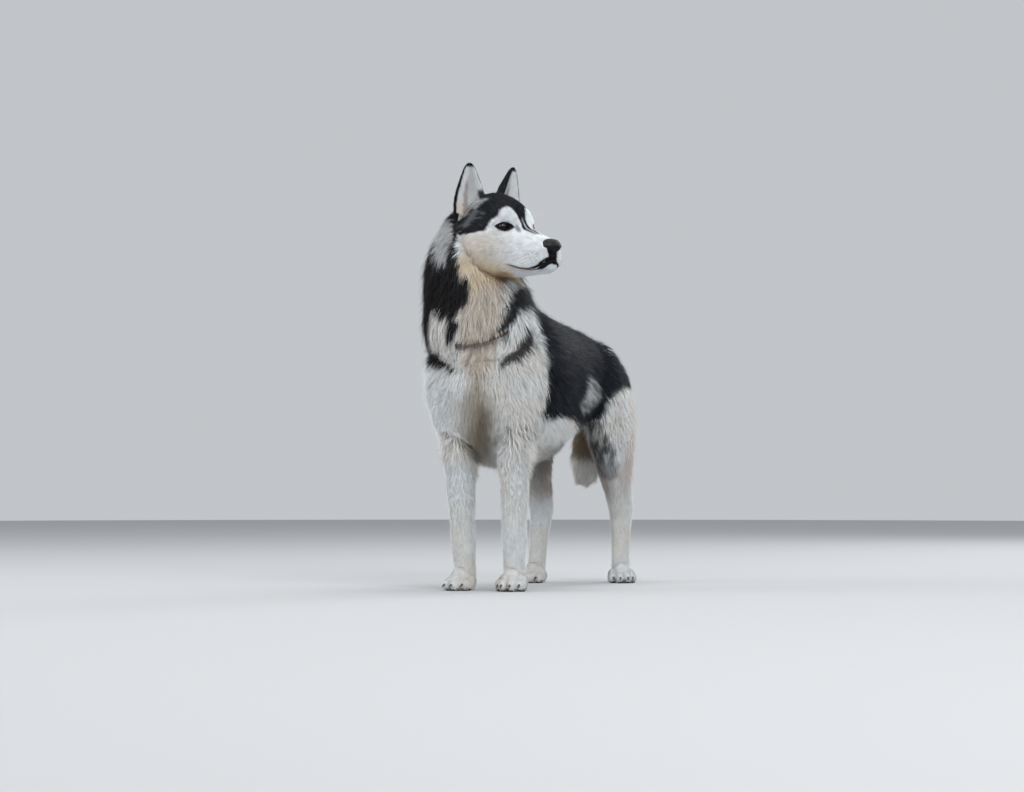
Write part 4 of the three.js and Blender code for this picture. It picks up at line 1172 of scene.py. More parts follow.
MANTLE = [
    (-200, 780), (-58, 780), (-60, 690), (-65, 660), (-66, 636), (-64, 620), (-57, 609), (-46, 596),
    (-38, 586), (-34, 579), (-37, 567), (-38, 556), (-44, 546), (-50, 535), (-59, 533), (-63, 525),
    (-57, 514), (-57, 504), (-63, 493), (-71, 479), (-78, 470), (-82, 483), (-82, 499), (-84, 514),
    (-92, 523), (-103, 533), (-109, 539), (-113, 521), (-115, 499), (-113, 476), (-109, 460),
    (-97, 453), (-88, 445), (-78, 438), (-70, 430), (-66, 420), (-71, 413), (-80, 418), (-90, 426),
    (-103, 431), (-122, 433), (-200, 433),
]
BREAST_BAND = [
    (59, 586), (110, 590), (110, 548), (66, 538), (57, 526), (47, 513), (40, 502), (28, 497), (19, 493),
    (10, 494), (17, 503), (24, 514), (32, 527), (39, 542), (42, 556), (46, 568), (52, 578),
]
SHOULDER_BAND = [
    (82, 506), (88, 489), (85, 470), (80, 455), (72, 444), (59, 437), (43, 436), (30, 430), (19, 424),
    (23, 436), (30, 447), (43, 455), (55, 463), (63, 478), (70, 493),
]
PALE_RUFF = [
    (-94, 724), (-80, 714), (-76, 697), (-76, 670), (-79, 640), (-82, 622), (-97, 620), (-110, 634),
    (-111, 662), (-106, 696),
]
JAW_RUST = [(14, 608), (30, 607), (46, 604), (44, 589), (36, 577), (24, 578), (15, 590)]
THROAT = [(-28, 600, 40), (-8, 560, 42), (-16, 500, 40), (-20, 440, 30)]
THROAT_CREAM = [(-56, 622, 10), (-20, 612, 20), (10, 606, 18), (-30, 585, 14)]


def neck_colour(colour, points, warped):
    """Black mantle that wraps neck and nape, its two pairs of bands on the breast, the warm throat."""
    flat = as_photographed(warped)
    z = warped[:, 2]
    behind = behind_middle(points)
    ahead = smoothstep(24 - behind, -10, 14)
    throat = stroke(flat, THROAT, 30) * ahead
    colour = laid(colour, WARM_WHITE, 0.8 * throat)
    mottled = smoothstep(noise(points * (1, 1, 0.35), 5, 21), -0.2, 0.6)
    colour = laid(colour, TAUPE, (0.2 + 0.45 * mottled) * throat)
    colour = laid(colour, CREAM, 0.75 * stroke(flat, THROAT_CREAM, 24) * ahead)
    colour = laid(colour, BROWN_BLACK, patch(flat, MANTLE, 7) * ahead * smoothstep(z, 400, 420))
    colour = laid(colour, BLACK, smoothstep(z, 488, 520) * smoothstep(behind, 4, 22))
    colour = laid(colour, BLACK, smoothstep(z, 690, 712))
    colour = laid(colour, BLACK, 0.97 * patch(flat, BREAST_BAND, 6) * smoothstep(60 - behind, -10, 20))
    colour = laid(colour, BLUE_BLACK, 0.93 * patch(flat, SHOULDER_BAND, 8) * ahead)
    ruff = patch(flat, PALE_RUFF, 6) * ahead
    colour = laid(colour, PALE_GREY, ruff)
    streaks = smoothstep(noise(points * (0.5, 0.5, 1.2), 4, 23), 0.0, 0.5)
    return laid(colour, GREY, 0.6 * ruff * streaks)


# height of the tail's middle line, and how far back it lies there
TAIL_BEND = np.array([(450, 480), (430, 536), (392, 570), (340, 582), (286, 582), (214, 573)]).T


def tail_colour(colour, warped):
    """Tail: dark over its root and back, paler beneath, with a white tip."""
    x, y, z = warped.T
    on_tail = smoothstep(y, 505, 535) * smoothstep(470 - z, 0, 30)
    middle = np.interp(-z, -TAIL_BEND[0], TAIL_BEND[1])
    inner = smoothstep(middle - y + 0.6 * np.abs(x + 20) - 14, -6, 16) * smoothstep(430 - z, 0, 40)
    tail = laid(np.broadcast_to(BLACK, colour.shape), TAUPE, 0.75 * inner)
    tail = laid(tail, BROWN, 0.25 * inner * smoothstep(noise(warped, 9, 27), -0.2, 0.6))
    tail = laid(tail, WHITE, smoothstep(258 - z, -12, 22))
    return colour + (tail - colour) * on_tail[:, None]


def coat_colour(points):
    """The colour of the coat at points on its outside, in the dog's frame."""
    colour, warped = trunk_colour(points)
    colour = neck_colour(colour, points, warped)
    colour = tail_colour(colour, warped)
    own = to_head(points)
    near = (own[:, 0] > -125) & (own[:, 2] > -115) & (np.abs(own[:, 1]) < 110)
    skull = ((own / (116, 84, 104)) ** 2).sum(1) < 1.3
    face = near & (skull | (own[:, 0] > 20) | (own[:, 2] > 30))
    colour[face] = ear_colour(head_colour(colour[face], points[face]), points[face])
    under_jaw = smoothstep(-40 - own[:, 2], 0, 20) * smoothstep(24 - behind_middle(points), -10, 14)
    return laid(colour, RUST, 0.6 * patch(as_photographed(warped), JAW_RUST, 12) * under_jaw)


# The hide's own markings, with painted shade that darkens it where the coat over it is deep, and the piece
# itself.
ROOT_SHADE = 0.8
SEEN_DEPTH = 0.8  # the share of the coat's depth at which its colour is looked up


def coloured(mesh, colour):
    """Stores a linear colour for each point of a mesh."""
    layer = mesh.color_attributes.new("markings", "FLOAT_COLOR", "POINT")
    rgba = np.c_[np.clip(colour, 0, 1), np.ones(len(colour))]
    layer.data.foreach_set("color", rgba.astype(np.float32).ravel())


skin_colour = coat_colour(skin_points + skin_normals * (skin_depth * SEEN_DEPTH)[:, None])
# painted shade: the deeper the coat over the hide, the darker the hide
deep = smoothstep(skin_depth, 3, 12)
coloured(skin_mesh, skin_colour * (1 - (1 - ROOT_SHADE) * deep)[:, None])
fitted(
    "hide", skin_mesh, skin_material, "coat_white",
    "torso", "neck", "head", "ear_left", "ear_right", "tail",
    "foreleg_left", "foreleg_right", "hindleg_left", "hindleg_right", "thigh_left", "thigh_right",
)

# Eyes. Each is a cast glass ball behind the lids, dark brown with a darker ring and a round pupil.
# The bulge of the cornea is polished, so that it throws back one sharp catch light.
CORNEA_HALF, CORNEA_RISE = 7.6, 1.3
IRIS_MAP_WIDTH = 30
eye_material, tree = new_material("glass_eye_cast_and_polished")
place = add(tree, "ShaderNodeUVMap", uv_map="iris")
across = add(tree, "ShaderNodeVectorMath", {0: place.outputs["UV"], 1: (-0.5, -0.5, 0)}, operation="ADD")
radius = add(tree, "ShaderNodeVectorMath", {0: across.outputs["Vector"]}, operation="LENGTH")
fibres = add(tree, "ShaderNodeTexNoise", {"Vector": across.outputs["Vector"], "Scale": 60.0, "Detail": 4.0})
wobble = add(
    tree, "ShaderNodeMath",
    {0: fibres.outputs["Fac"], 1: 0.03, 2: radius.outputs["Value"]}, operation="MULTIPLY_ADD",
)
iris = add(tree, "ShaderNodeValToRGB", {"Fac": wobble.outputs["Value"]})
# how far out from the middle of the pupil, and the colour there
IRIS_RINGS = [
    (0.0, "#010101"), (0.115, "#010101"), (0.135, "#0A0605"), (0.2, "#140B08"),
    (0.24, "#0A0605"), (0.28, "#080606"), (0.33, "#2A201D"), (0.5, "#4A3A35"),
]
while len(iris.color_ramp.elements) < len(IRIS_RINGS):
    iris.color_ramp.elements.new(1.0)
for element, (at, code) in zip(iris.color_ramp.elements, IRIS_RINGS):
    element.position, element.color = at, paint(code)
finished(tree, {
    "Base Color": iris.outputs["Color"],
    "Roughness": 0.25,
    "Specular IOR Level": 0.0,
    "Coat Weight": 0.8,
    "Coat Roughness": 0.02,
    "Coat IOR": 1.376,
})


def with_uv(mesh, name, uv):
    """Adds a UV map from a place for each point."""
    corners = np.empty(len(mesh.loops), np.int32)
    mesh.loops.foreach_get("vertex_index", corners)
    layer = mesh.uv_layers.new(name=name)
    layer.data.foreach_set("uv", uv[corners].astype(np.float32).ravel())


def out_of_eye(own, side):
    """Places along the slit, across it and outwards as points of the dog's frame."""
    return from_head(own @ eye_axes(side) + EYE_PLACE * (1, side, 1))


def eyeball(name, side):
    """Sphere rings round the way it looks; the middle rises by rise (1 - (r / half)^2)."""
    t = np.linspace(0.02, np.pi - 0.02, 56)[:, None]
    a = angles(56)
    flat = EYE_RADIUS * np.sin(t)
    bulge = CORNEA_RISE * np.clip(1 - (flat / CORNEA_HALF) ** 2, 0, 1) * (t < 1.5)
    own = np.stack(
        np.broadcast_arrays(flat * np.cos(a), flat * np.sin(a), EYE_RADIUS * np.cos(t) + bulge), -1
    )
    points, faces = closed(own)
    piece_mesh = mesh_of(name, out_of_eye(points, side), faces if side > 0 else faces[:, ::-1])
    with_uv(piece_mesh, "iris", 0.5 + points[:, :2] / IRIS_MAP_WIDTH)
    fitted(name, piece_mesh, eye_material, "eye", name.replace("eyeball", "eye"))


eyeball("eyeball_left", 1)
eyeball("eyeball_right", -1)


def tube(path, radius, sides=10):
    """A round profile carried along a path, its radius given for each place: the ring at a place lies
    across the path there."""
    path = np.asarray(path, float)
    along = unit(np.gradient(path, axis=0))
    aside = np.where(np.abs(along[:, 2:]) > 0.9, np.array([[1.0, 0, 0]]), UP[None])
    first = unit(np.cross(along, aside))
    second = np.cross(along, first)
    angle = angles(sides)[..., None]
    ring = first[:, None] * np.cos(angle) + second[:, None] * np.sin(angle)
    return closed(path[:, None] + ring * np.broadcast_to(radius, len(path))[:, None, None])


# Rims of the lids, and the lips. Both are bare black skin that rolls out over the edge of the hide,
# cast in soft rubber. Fine creases keep it matt beside the eye's shine.
RIM_THIN, RIM_SWELL = 0.75, 0.45
LIP_THIN, LIP_FULLER, LIP_FORWARD = 1.1, 0.3, 1.4
bare_skin, tree = new_material("bare_black_skin_moist")
place = add(tree, "ShaderNodeTexCoord")
creases = add(tree, "ShaderNodeTexNoise", {"Vector": place.outputs["Object"], "Scale": 1400.0, "Detail": 3.0})
tint = add(
    tree, "ShaderNodeMix",
    {"Factor": creases.outputs["Fac"], "A": paint("#0E0D0E"), "B": paint("#1D1A1B")}, data_type="RGBA",
)
relief = add(tree, "ShaderNodeBump", {"Strength": 0.4, "Distance": 0.0003, "Height": creases.outputs["Fac"]})
finished(tree, {
    "Base Color": tint.outputs["Result"],
    "Roughness": 0.6,
    "Specular IOR Level": 0.1,
    "Normal": relief.outputs["Normal"],
})


def lid_rim(side):
    """A tube along the almond on the ball: t = +-rise (1 - (s / half)^2), thinner at the corners."""
    turn = np.linspace(0, 2 * np.pi, 73)
    s = LID_HALF * np.cos(turn)
    t = np.sign(np.sin(turn)) * LID_RISE * (1 - (s / LID_HALF) ** 2)
    w = lid_height(s, t, 0.7)
    points, faces = tube(np.stack([s, t, w], 1), RIM_THIN + RIM_SWELL * np.abs(np.sin(turn)))
    return out_of_eye(points, side), faces if side > 0 else faces[:, ::-1]


points, faces = gathered([lid_rim(1), lid_rim(-1)])
fitted("lid_rims", mesh_of("lid_rims", points, faces), bare_skin, "nose_leather")

mouth_run = np.linspace(-1, 1, MOUTH_PLACES)
lip_radius = LIP_THIN + LIP_FULLER * (1 - np.abs(mouth_run))
lip_path = mouth + LIP_FORWARD * unit(mouth - INSIDE_MOUTH)
lip_path = lip_path + np.c_[0 * mouth_run, 0 * mouth_run, 0.3 * lip_radius]
points, faces = tube(from_head(lip_path), lip_radius)
fitted("lips", mesh_of("lips", points, faces), bare_skin, "nose_leather")

# Nose. It is a cast pad of bare leather with comma nostrils that open to the sides and a groove down
# the middle. Fine pebbles break up its sheen, which is bluish where it catches the light.
NOSE_AT, NOSE_RADII = np.array([98.5, 0, -42.0]), np.array([16.5, 18.0, 15.0])
# the run of a nostril as ways out of the nose's middle, on the left side
NOSTRIL = [(0.80, 0.26, -0.10), (0.62, 0.46, -0.06), (0.34, 0.72, -0.10), (0.02, 0.86, -0.30)]
NOSTRIL_DEEP, NOSTRIL_WIDE = 0.36, 0.14
RIM_RISE, RIM_AWAY, RIM_WIDE = 0.05, 0.3, 0.12
GROOVE_DEEP, GROOVE_WIDE = 0.12, 0.08
CHIN_BACK, CHIN_NARROW, TOP_SLOPE = 4.5, 0.58, 0.16
NOSE_SQUARE = 2.6  # the nose is squarer than a ball by this power
nose_leather, tree = new_material("bare_nose_leather_pebbled")
place = add(tree, "ShaderNodeTexCoord")
pebbles = add(
    tree, "ShaderNodeTexVoronoi",
    {"Vector": place.outputs["Object"], "Scale": 900.0}, feature="DISTANCE_TO_EDGE",
)
level = add(tree, "ShaderNodeMapRange", {"Value": pebbles.outputs["Distance"], "From Max": 0.12})
tint = add(
    tree, "ShaderNodeMix",
    {"Factor": level.outputs["Result"], "A": paint("#020203"), "B": paint("#08090C")}, data_type="RGBA",
)
relief = add(tree, "ShaderNodeBump", {"Strength": 0.6, "Distance": 0.0004, "Height": level.outputs["Result"]})
finished(tree, {
    "Base Color": tint.outputs["Result"],
    "Roughness": 0.42,
    "Specular IOR Level": 0.16,
    "Coat Weight": 0.08,
    "Coat Roughness": 0.3,
    "Normal": relief.outputs["Normal"],
})


def nose_shape():
    """A ball narrower below, pressed in along the nostrils and the middle groove by depth
    e^-(distance / reach)^2 of the direction from its middle."""
    t = np.linspace(0.03, np.pi - 0.03, 70)[:, None]
    a = angles(110)
    way = np.stack([np.sin(t) * np.cos(a), np.sin(t) * np.sin(a), np.cos(t) + 0 * a], -1)
    half = np.abs(way) * (0, 1, 0) + way * (1, 0, 1)
    reach = np.full(way.shape[:2], 9.0)
    for a_place, b_place in zip(NOSTRIL[:-1], NOSTRIL[1:]):
        run = np.subtract(b_place, a_place)
        f = np.clip(((half - a_place) @ run) / (run @ run), 0, 1)[..., None]
        reach = np.minimum(reach, np.linalg.norm(half - (np.array(a_place) + f * run), axis=-1))
    pit = NOSTRIL_DEEP * np.exp(-((reach / NOSTRIL_WIDE) ** 2))
    pit -= RIM_RISE * np.exp(-(((reach - RIM_AWAY) / RIM_WIDE) ** 2))
    groove = GROOVE_DEEP * np.exp(-((way[..., 1] / GROOVE_WIDE) ** 2))
    groove *= smoothstep(-way[..., 2], -0.35, 0.2) * (way[..., 0] > 0)
    square = (np.abs(way) ** NOSE_SQUARE).sum(-1) ** (-1 / NOSE_SQUARE)
    shape = way * (square * (1 - pit - groove))[..., None] * NOSE_RADII
    low = np.maximum(-way[..., 2], 0)
    shape[..., 0] -= CHIN_BACK * low
    shape[..., 1] *= 1 - CHIN_NARROW * low
    shape[..., 2] -= TOP_SLOPE * np.maximum(shape[..., 0], 0) * (way[..., 2] > 0)
    return closed(from_head(shape + NOSE_AT))


points, faces = nose_shape()
fitted("nose_leather_pad", mesh_of("nose_leather_pad", points, faces), nose_leather, "nose_leather", "nose")

# Claws. One blunt curved claw of dark grey horn is set before each toe. It is rubbed by the ground, so
# that it has a low sheen and pale and dark flecks.
CLAW_LONG, CLAW_RADIUS, CLAW_TIP = 11.0, 2.7, 0.25
CLAW_UP, CLAW_BEND = 12.5, 1.15
horn, tree = new_material("claw_horn_worn")
place = add(tree, "ShaderNodeTexCoord")
growth = add(tree, "ShaderNodeTexNoise", {"Vector": place.outputs["Object"], "Scale": 500.0, "Detail": 3.0})
tint = add(
    tree, "ShaderNodeMix",
    {"Factor": growth.outputs["Fac"], "A": paint("#2A2522"), "B": paint("#5E544B")}, data_type="RGBA",
)
relief = add(tree, "ShaderNodeBump", {"Strength": 0.3, "Distance": 0.0003, "Height": growth.outputs["Fac"]})
finished(tree, {"Base Color": tint.outputs["Result"], "Roughness": 0.45, "Normal": relief.outputs["Normal"]})


def claw(name, across, ahead, radii):
    """A tapering tube along a part of a circle that bends down ahead of the toe."""
    t = np.linspace(0, 1, 12)
    path = np.stack([
        np.full(12, across),
        -(ahead + radii[1] - 6 + CLAW_LONG * np.sin(CLAW_BEND * t)),
        CLAW_UP - CLAW_LONG * 0.9 * (1 - np.cos(CLAW_BEND * t)),
    ], 1)
    return tube(on_foot(name, path), CLAW_RADIUS * (1 - t) ** 0.55 + CLAW_TIP)


points, faces = gathered([
    claw(name, across, ahead, radii) for name in LEGS for across, ahead, _, radii in TOES
])
fitted("claws", mesh_of("claws", points, faces), horn, "nose_leather")

# Pads. Bare, thick and rough black skin lies under each toe and behind them, flat where the dog
# stands. It is cast in rubber with small warts, which leave it quite without shine.
HEEL_PAD = ((0, -5, 5), (15, 12, 7))
TOE_PAD_UP, TOE_PAD = 5.0, (7.6, 10.5, 6.5)
pad_skin, tree = new_material("pad_skin_thick_and_rough")
place = add(tree, "ShaderNodeTexCoord")
warts = add(tree, "ShaderNodeTexVoronoi", {"Vector": place.outputs["Object"], "Scale": 1300.0})
tint = add(
    tree, "ShaderNodeMix",
    {"Factor": warts.outputs["Distance"], "A": paint("#1E1B1B"), "B": paint("#0C0B0C")}, data_type="RGBA",
)
relief = add(
    tree, "ShaderNodeBump",
    {"Strength": 0.6, "Distance": 0.0004, "Height": warts.outputs["Distance"]}, invert=True,
)
finished(tree, {"Base Color": tint.outputs["Result"], "Roughness": 0.8, "Normal": relief.outputs["Normal"]})


def pads(name):
    """Balls cut flat at the floor: one behind the toes and one under each."""
    shapes = [on_foot(name, ball(*HEEL_PAD))]
    shapes += [on_foot(name, ball((across, -ahead - 3, TOE_PAD_UP), TOE_PAD)) for across, ahead, _, _ in TOES]
    return [closed(np.maximum(shape, (-np.inf, -np.inf, 0))) for shape in shapes]


points, faces = gathered([pad for name in LEGS for pad in pads(name)])
fitted("paw_pads", mesh_of("paw_pads", points, faces), pad_skin, "nose_leather")

# Coat. A double coat of woolly underhair and longer guard hair that gathers in flat pointed locks, deep
# on neck, chest, thighs and tail and short on face and legs. Each lock is a thin solid sliver: it
# leaves the hide, follows the lie of the coat and ends at the coat's depth.
ACROSS = np.radians([90, 210, 330])  # the corners of a lock's cross-section, the first one outwards
GLINT = np.array([0.72, 0.9, 1.2])  # the tint of painted bluish glints in the black, which also stand for single pale hairs
hair_white, tree = new_material("guard_hair_in_locks")
markings = add(tree, "ShaderNodeVertexColor", layer_name="markings")
place = add(tree, "ShaderNodeTexCoord")
strand = add(
    tree, "ShaderNodeTexNoise",
    {"Vector": place.outputs["Object"], "Scale": 900.0, "Detail": 3.0, "Roughness": 0.6},
)
relief = add(tree, "ShaderNodeBump", {"Strength": 0.35, "Distance": 0.0004, "Height": strand.outputs["Fac"]})
finished(tree, {
    "Base Color": markings.outputs["Color"],
    "Roughness": 0.55,
    "Specular IOR Level": 0.08,
    "Normal": relief.outputs["Normal"],
})

# The collar presses the coat in along its loop, and the hair above it ends at its upper edge where
# it shows in front.
collar_low, collar_high = (np.array(corner) * 1000 - DOG_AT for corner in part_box("collar"))
COLLAR_FRONT, COLLAR_BACK = np.array([-12.0, -80, 468]), np.array([-20.0, 92, 592])
COLLAR_TALL, STRAP_THICK = 6.5, 3.4
collar_back = unit((COLLAR_BACK - COLLAR_FRONT) * (0, 1, 1))
collar_up = np.array([0, -collar_back[2], collar_back[1]])
collar_middle = (collar_low + collar_high) / 2
COLLAR_WIDE = (collar_high - collar_low)[0] / 2 - STRAP_THICK
COLLAR_DEEP = ((collar_high - collar_low)[1] / 2 - STRAP_THICK) / collar_back[1]
COLLAR_SEEN = (-58, 30)  # it shows between these places across the breast

corner_places = skin_points[skin_faces]
edge_ways = corner_places[:, 1:] - corner_places[:, :1]
face_area = np.linalg.norm(np.cross(edge_ways[:, 0], edge_ways[:, 1]), axis=1) / 2
face_middle = corner_places.mean(1)
face_part = skin_part[skin_faces[:, 0]]
face_depth = skin_depth[skin_faces].mean(1)


def belonging(*names):
    """Which faces of the hide belong to the parts of these names."""
    return np.isin(face_part, [part_names.index(name) for name in names])


is_head, is_torso = belonging("head"), belonging("torso")
front_of_head = to_head(face_middle)[:, 0] > -28
shrink_mesh = skin_mesh.copy()
target = bpy.data.objects.new("shrink_target", shrink_mesh)
bpy.context.scene.collection.objects.link(target)
SMOOTH_LIFT = 10.0


def footprints(points):
    """The nearest place of the hide to each point, and the way outwards there, from two shrinkwraps
    that stand at 0 and at 10 mm above it."""
    found = []
    for lift in (0.0, SMOOTH_LIFT):
        mesh = bpy.data.meshes.new("cloud")
        mesh.vertices.add(len(points))
        mesh.vertices.foreach_set("co", placed(points).astype(np.float32).ravel())
        cloud = bpy.data.objects.new("cloud", mesh)
        bpy.context.scene.collection.objects.link(cloud)
        wrap = cloud.modifiers.new("wrap", "SHRINKWRAP")
        wrap.wrap_method, wrap.wrap_mode = "NEAREST_SURFACEPOINT", "ABOVE_SURFACE"
        wrap.target, wrap.offset = target, lift / 1000
        wrapped, made = evaluated(cloud)
        bpy.data.meshes.remove(made)
        found.append(wrapped)
    return found[0], unit(found[1] - found[0])


def roots(chosen, density, count, random):
    """Seeded places spread over the chosen faces by area times density: the face whose share of the
    running total is reached, and an even random place in it."""
    index = np.flatnonzero(chosen)
    total = np.cumsum(face_area[index] * density[index])
    pick = index[np.searchsorted(total, (np.arange(count) + random.random(count)) / count * total[-1])]
    u, v = random.random((2, count))
    flip = u + v > 1
    u, v = np.where(flip, 1 - u, u), np.where(flip, 1 - v, v)
    share = np.stack([1 - u - v, u, v], 1)
    blend = lambda values: (values[skin_faces[pick]] * share[..., None]).sum(1)
    return blend(skin_points), unit(blend(skin_normals)), blend(skin_lie), blend(skin_depth[:, None])[:, 0]


def bare(points):
    """Where no hair grows: inside the lids, on the nose, in the mouth, and under the feet."""
    own = to_head(points)
    none = np.zeros(len(points), bool)
    for side in (1, -1):
        s, t, w = on_eye(own, side)
        none |= (w > 0) & (rim(s, t) < 1.0) & (np.abs(s) < 22)
    none |= np.linalg.norm((own - NOSE_AT) / (NOSE_RADII + 1.5), axis=1) < 1
    face = own[:, 0] > 5
    none[face] |= away_from(own[face], mouth[::2]) < 2.6
    none |= points[:, 2] < 2.5
    return none


VEER_SIZE, CLUMP_SIZE = 22, 13
CLUMP_STEP = 3
HALF_WAY, HALF_DRAWN = 0.45, 0.35


def lock_ways(root, normal, lie, long, curl, clump, random):
    """How a lock runs from its root: its way along the hide veers from the lie by a smooth noise and by
    chance, and its tip is drawn up the slope of another noise, so that locks gather in points. A lock
    that would cross the collar ends at its upper edge. Returns the place half way, the tip, and the
    share that the coat rises to there."""
    count = len(root)
    flat = unit(lie - normal * (lie * normal).sum(1)[:, None])
    side = np.cross(normal, flat)
    veer = curl * noise(root, VEER_SIZE, 31) + 0.5 * curl * random.standard_normal(count)
    way = unit(flat + side * veer[:, None])
    slope = np.stack([noise(root + shift, CLUMP_SIZE, 33) for shift in CLUMP_STEP * np.eye(3, dtype=int)], 1)
    slope = slope - noise(root, CLUMP_SIZE, 33)[:, None]
    draw = clump * (slope - normal * (slope * normal).sum(1)[:, None])
    reach = long * random.uniform(0.8, 1.2, count)
    tip = root + way * reach[:, None] + draw
    above, end = (root - collar_middle) @ collar_up, (tip - collar_middle) @ collar_up
    across = as_photographed(root)[:, 0]
    seen = (root[:, 1] < -10) & (across > COLLAR_SEEN[0]) & (across < COLLAR_SEEN[1])
    crossing = seen & (above > 3) & (above < 70) & (end < 4)
    share = np.where(crossing, (above - 4.5) / np.maximum(above - end, 1), 1.0)
    reach = reach * np.clip(share, 0.25, 1)
    half = root + way * (HALF_WAY * reach)[:, None] + HALF_DRAWN * draw
    tip = np.where(crossing[:, None], root + way * reach[:, None], tip)
    low = np.where(seen & (np.abs(above) < 5.5), 0.35, 1.0) * np.where(crossing, 0.92, 1.0)
    return half, tip, low


def flare(points, normals):
    """How much more the tips stand out than the coat is deep: on the ruff behind the cheeks, at the
    angle of the jaw and under the belly."""
    x, y, z = to_head(points).T
    aside = np.abs(y)
    cheek = smoothstep(-x, 26, 56) * smoothstep(120 + x, 0, 20) * smoothstep(aside, 40, 62)
    cheek *= smoothstep(-z, 4, 34) * smoothstep(z, -120, -90)
    cheek *= 1 - 0.85 * smoothstep(-normals[:, 1], 0.4, 0.75)
    jaw = smoothstep(-z, 38, 56) * smoothstep(94 + z, 0, 12) * smoothstep(30 - x, 0, 30)
    jaw *= smoothstep(x, -58, -40) * smoothstep(aside, 14, 30) * smoothstep(74 - aside, 0, 10)
    _, back, height = points.T
    belly = smoothstep(310 - height, 0, 30) * smoothstep(height, 215, 240)
    belly *= smoothstep(back, -30, 20) * smoothstep(360 - back, 0, 60)
    return 1 + np.maximum(0.85 * cheek, 0.6 * jaw) + 0.9 * belly


SPARE_ROOTS = 1.12  # more roots than locks are drawn, as some lie on bare skin
STRAY_SHARE, STRAY_RISE, STRAY_MORE, STRAY_THIN = 0.08, 1.22, 0.8, 0.5
ROOT_SUNK = 1.5
HALF_RISE = 0.72  # the share of its rise that a lock has reached half way
LEAST_HEIGHTS = (2.0, 1.2, 0.8)  # above the floor, at root, half way and tip
HIDE_SHARE, LOCK_SHARE = 0.75, 0.45  # the hide's and the lock's own part in the normals
LOCK_FACES = np.array([(0, 2, 1), (0, 3, 2), (0, 1, 3), (1, 2, 4), (2, 3, 4), (3, 1, 4)])
LOCK_MAP = np.array([(0.5, 0), (0, 0.5), (1, 0.5), (0.5, 0.7), (0.5, 1)])
LOCK_MAP_WIDE, COAT_MAP_WIDE = 0.003, 0.996


def lock_colour(root, depth, seen_at, random):
    """Colours for the five points of each lock: the marking where most of the lock is seen, darkened
    towards its root by painted shade and a little lighter at its tip, with painted bluish grey glints
    among the black that also stand for pale hairs."""
    n = len(root)
    shade = coat_colour(seen_at)
    lively = random.normal(1, 0.08, n) + 0.08 * noise(root, 5, 41) + 0.06 * noise(root, 14, 42)
    # painted shade: the lock darkens towards its root, more where the coat is deep, and its tip is a little
    # lighter
    dark = 0.88 - 0.14 * smoothstep(depth, 4, 20)
    level = np.stack([dark] + [0.5 + 0.5 * dark] * 3 + [1.04 + 0 * dark], 1)
    # painted highlights: a few black locks are lifted towards bluish grey, as glints of light and as pale
    # hairs
    glint = 0.045 * random.random(n) ** 4
    colour = shade[:, None] * level[:, :, None] * lively[:, None, None]
    return colour + GLINT * (glint * np.clip(1 - 6 * shade[:, 1], 0, 1))[:, None, None]


def coat_piece(name, slot, chosen, count, size, curl, clump, thin, project, seed):
    """One piece of coat: its locks as slivers from a point at the root over three corners half way to a
    point at the tip. Size gives a lock's length and width from the coat's depth."""
    random = np.random.default_rng(1000 + seed)
    long, wide = size(face_depth)
    root, normal, lie, depth = roots(chosen, 1 / (long * wide), int(count * SPARE_ROOTS), random)
    keep = random.permutation(np.flatnonzero(~bare(root)))[:count]
    root, normal, lie, depth = root[keep], normal[keep], lie[keep], depth[keep]
    long, wide = size(depth)
    half, tip, low = lock_ways(root, normal, lie, long, curl, clump, random)
    n = len(root)
    foot, out = footprints(np.concatenate([half, tip]))
    rise = depth * random.uniform(0.82, 1.14, n) * low
    strays = random.random(n) < STRAY_SHARE
    rise = np.where(strays, rise * STRAY_RISE + STRAY_MORE, rise)
    wide = wide * random.uniform(0.75, 1.25, n) * np.where(strays, STRAY_THIN, 1)
    middle = foot[:n] + out[:n] * (HALF_RISE * rise)[:, None]
    end = foot[n:] + out[n:] * (rise * flare(root, normal))[:, None]
    centre = np.stack([root - normal * ROOT_SUNK, middle, end], 1)
    centre[:, :, 2] = np.maximum(centre[:, :, 2], LEAST_HEIGHTS)
    run = unit(centre[:, 2] - centre[:, 0])
    side = unit(np.cross(out[:n], run))
    up = np.cross(run, side)
    turn = side[:, None] * np.cos(ACROSS)[:, None] + up[:, None] * (np.sin(ACROSS) * thin)[:, None]
    ring = centre[:, 1:2] + turn * (wide / 2)[:, None, None]
    points = np.concatenate([centre[:, :1], ring, centre[:, 2:]], 1)
    faces = (LOCK_FACES[None] + 5 * np.arange(n)[:, None, None]).reshape(-1, 3)
    mesh = mesh_of(name, points.reshape(-1, 3), faces)
    colour = lock_colour(root, depth, middle * 0.5 + centre[:, 2] * 0.5, random)
    coloured(mesh, colour.reshape(-1, 3))
    # normals between the hide's and the lock's own, so that light falls over the coat as one form
    body = np.stack([normal] + [out[:n]] * 3 + [out[n:]], 1)
    own = np.concatenate([normal[:, None], unit(turn), out[n:, None]], 1)
    normals = unit(HIDE_SHARE * body + LOCK_SHARE * own)
    mesh.normals_split_custom_set_from_vertices(normals.reshape(-1, 3).astype(np.float32))
    # bake map: a small patch for each lock, at its root's place on the unrolled hide
    uv = np.stack(project(root), 1)[:, None] * COAT_MAP_WIDE + LOCK_MAP * LOCK_MAP_WIDE
    with_uv(mesh, "OFBake", uv.reshape(-1, 2))
    fitted(name, mesh, hair_white, slot)


